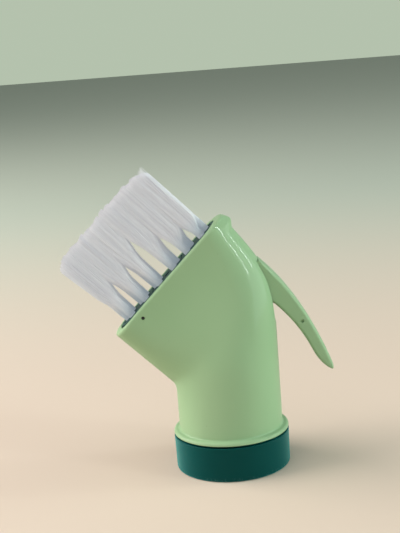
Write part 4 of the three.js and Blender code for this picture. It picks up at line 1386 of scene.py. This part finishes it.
def wire_spot(number):
    """Where a wire stands in the unit disc, when the wires follow a sunflower's spiral."""
    turn = number * math.pi * (3 - math.sqrt(5))
    radius = SPOT_REACH * math.sqrt((number + 0.5) / TUFT_WIRES)
    return radius * math.cos(turn), radius * math.sin(turn)


def wire_path(row, index, number, least_length=0):
    u, v = wire_spot(number)
    across, deep = spread_square(u, v)
    side = (across + 1) / 2
    s_root, y_root = (a + b * TUFT_ROOT_RADIUS for a, b in zip(tuft_place(row, index), (u, v)))
    s_tip = between(TIP_BORDERS[index] - TIP_LAP, TIP_BORDERS[index + 1] + TIP_LAP, side)
    s_tip = min(max(s_tip, TIP_BORDERS[0]), TIP_BORDERS[-1]) + rng.uniform(-TIP_SCATTER, TIP_SCATTER)
    s_tip += FRONT_SHIFT if row < 0 else 0
    y_tip = (row + deep / 2) * BRISTLE_DEPTH / len(TUFT_ROWS)
    clump = int((s_tip + row_half) / CLUMP_WIDTH + CLUMP_SLANT * deep) % CLUMP_COUNT
    length = max(tip_height(s_tip, clump), least_length)
    tops = SIDE_GAP_TOPS if row else GAP_TOPS
    gap_top = between(tops[index], tops[index + 1], side)
    span = [gap_top * share for share in GAP_CLOSING]
    phase = rng.uniform(-WAVE_PHASE, WAVE_PHASE)
    points = []
    for stop in WIRE_STOPS:
        h = between(-ROOT_DEPTH, length, stop)
        lean = GENTLE_LEAN * stop + (1 - GENTLE_LEAN) * rise(h, *span)
        wave = WAVE * clump_waves[clump] * stop * math.sin(WAVE_TURN * stop + phase)
        y = between(y_root, y_tip, rise(h, *DEPTH_LEAN))
        points.append(mouth_point(between(s_root, s_tip, lean) + wave, y, h))
    return points


print(TUFT_WIRES * len(TUFT_ROWS) * TUFTS_PER_ROW, "wires in all")

# %% [markdown]
# ## Stray wires
# A few wires at the upper end escaped the trimming and stay long. They could be drawn one by one, but
# they run as their neighbours do, between two of them, and only their length differs.

# %% Let a few wires stray
STRAY_WIRES = 12
STRAY_SPOTS = (0.3, 0.9)  # where they stand in the last tufts, as a share of the way to the end
STRAY_CUTS = (-0.1 * MM, 1.3 * MM)  # how much shorter than the row's middle they are


def stray_path():
    """A wire at the upper end that escaped the cut which rounds the row's corner."""
    low, high = STRAY_SPOTS
    middles = [n + 0.5 for n in range(TUFT_WIRES)]  # halfway between two wires of the spiral
    number = rng.choice([n for n in middles if low < wire_spot(n)[0] < high])
    length = BRISTLE_LENGTH - rng.uniform(*STRAY_CUTS)
    return wire_path(rng.choice(TUFT_ROWS), TUFTS_PER_ROW - 1, number, length)


print(STRAY_WIRES, "wires stray at the upper end")

# %% [markdown]
# ## Bristle tufts
# Hair particles could grow the wires, but the closing export wants plain meshes. So each wire is a
# spline with a bevel and closed ends, all wires of a bar lie in one curve, and the curve is then made
# a mesh. Four sides to a wire are enough at its size.

# %% Plant the tufts
WIRE_RADIUS = 0.085 * MM
TIP_TAPER = 0.75


def plant(curve, points):
    spline = curve.splines.new("POLY")
    spline.points.add(len(points) - 1)
    for knot, point in zip(spline.points, points):
        knot.co = (*point, 1)
    spline.points[-1].radius = TIP_TAPER


def weld_caps():
    """Joins the loose end caps to their wires, and keeps their edges sharp."""
    bpy.ops.object.mode_set(mode="EDIT")
    bpy.ops.mesh.select_all(action="DESELECT")
    bpy.ops.mesh.select_non_manifold()
    bpy.ops.mesh.mark_sharp()
    bpy.ops.mesh.select_all(action="SELECT")
    bpy.ops.mesh.remove_doubles(threshold=WELD)
    bpy.ops.object.mode_set(mode="OBJECT")


def tuft_strip(bar_index):
    curve = bpy.data.curves.new(f"tufts_{BAR_NAMES[bar_index]}", "CURVE")
    curve.dimensions = "3D"
    curve.bevel_depth = WIRE_RADIUS
    curve.bevel_resolution = 0
    curve.use_fill_caps = True
    for row, index in bar_tufts(bar_index):
        for number in range(TUFT_WIRES):
            plant(curve, wire_path(row, index, number))
    if bar_index == len(BAR_NAMES) - 1:
        for _ in range(STRAY_WIRES):
            plant(curve, stray_path())
    strip = bpy.data.objects.new(curve.name, curve)
    bpy.context.scene.collection.objects.link(strip)
    make_active(strip)
    bpy.ops.object.convert(target="MESH")
    strip = bpy.context.object
    weld_caps()
    bpy.ops.object.shade_smooth()
    dress(strip, nylon, "head", "bristle_nylon", f"bristle_strip_{BAR_NAMES[bar_index]}")


for bar_index in range(len(BAR_NAMES)):
    tuft_strip(bar_index)

# %% [markdown]
# ## Valve spring
# A coil spring inside the valve pushes the plunger back. Its solid keeps its length, so the plunger
# would run into it when the lever is pressed.

# %% Wind the valve spring
SPRING_WIRE = 0.35 * MM  # radius
SPRING_SIDES = 12
SPRING_TURNS = 5
SPRING_STEPS = 32  # a turn
spring_low, spring_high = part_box("valve_spring")
spring_length = spring_high.x - spring_low.x


def wind_spring():
    middle = (spring_low + spring_high) / 2
    coil_radius = (spring_high.z - spring_low.z) / 2 - SPRING_WIRE
    pitch = (spring_length - 2 * SPRING_WIRE) / SPRING_TURNS
    start = (spring_low.x + SPRING_WIRE, middle.y, middle.z)
    fresh_start()
    bpy.ops.mesh.primitive_circle_add(vertices=SPRING_SIDES, radius=SPRING_WIRE, location=start)
    spring = bpy.context.object
    bpy.ops.object.mode_set(mode="EDIT")
    bpy.ops.mesh.select_all(action="SELECT")
    bpy.ops.transform.translate(value=(0, coil_radius, 0))
    bpy.ops.object.mode_set(mode="OBJECT")
    apply_modifier(spring, "SCREW", axis="X", iterations=SPRING_TURNS, screw_offset=pitch,
                   steps=SPRING_STEPS, render_steps=SPRING_STEPS)
    bpy.ops.object.mode_set(mode="EDIT")
    close_up("valve_coil")
    bpy.ops.object.transform_apply(location=True, rotation=False, scale=False)
    return spring


valve_coil = wind_spring()
smooth(valve_coil)
dress(valve_coil, spring_steel, "head", "steel", "valve_spring")
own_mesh(valve_coil)

# %% [markdown]
# ## Solids that stay
# The valve and its hoses, the pins, the anchors and the brush plate have the right shape already,
# and most of them are hidden. They stay as they are in the frame, and each gets its finish.

# %% Give the solids that stay their finishes
KEPT_SOLIDS = {
    "brush_plate": plate_teal, "valve_carrier": white_acetal, "valve_body": white_acetal,
    "valve_stem": white_acetal, "valve_cap": collar_teal, "inlet_hose": milky_silicone,
    "outlet_hose": milky_silicone, "poppet_seal": black_rubber, "stem_oring": black_rubber,
    "trigger_pin": spring_steel, "plate_pin": pin_steel,
    **{name: anchor_brass for name in frame["nodes"] if name.startswith("tuft_anchor")},
}
for name, finish in KEPT_SOLIDS.items():
    for material_slot in frame["nodes"][name].material_slots:
        material_slot.material = finish
print(len(KEPT_SOLIDS), "solids kept from the frame")
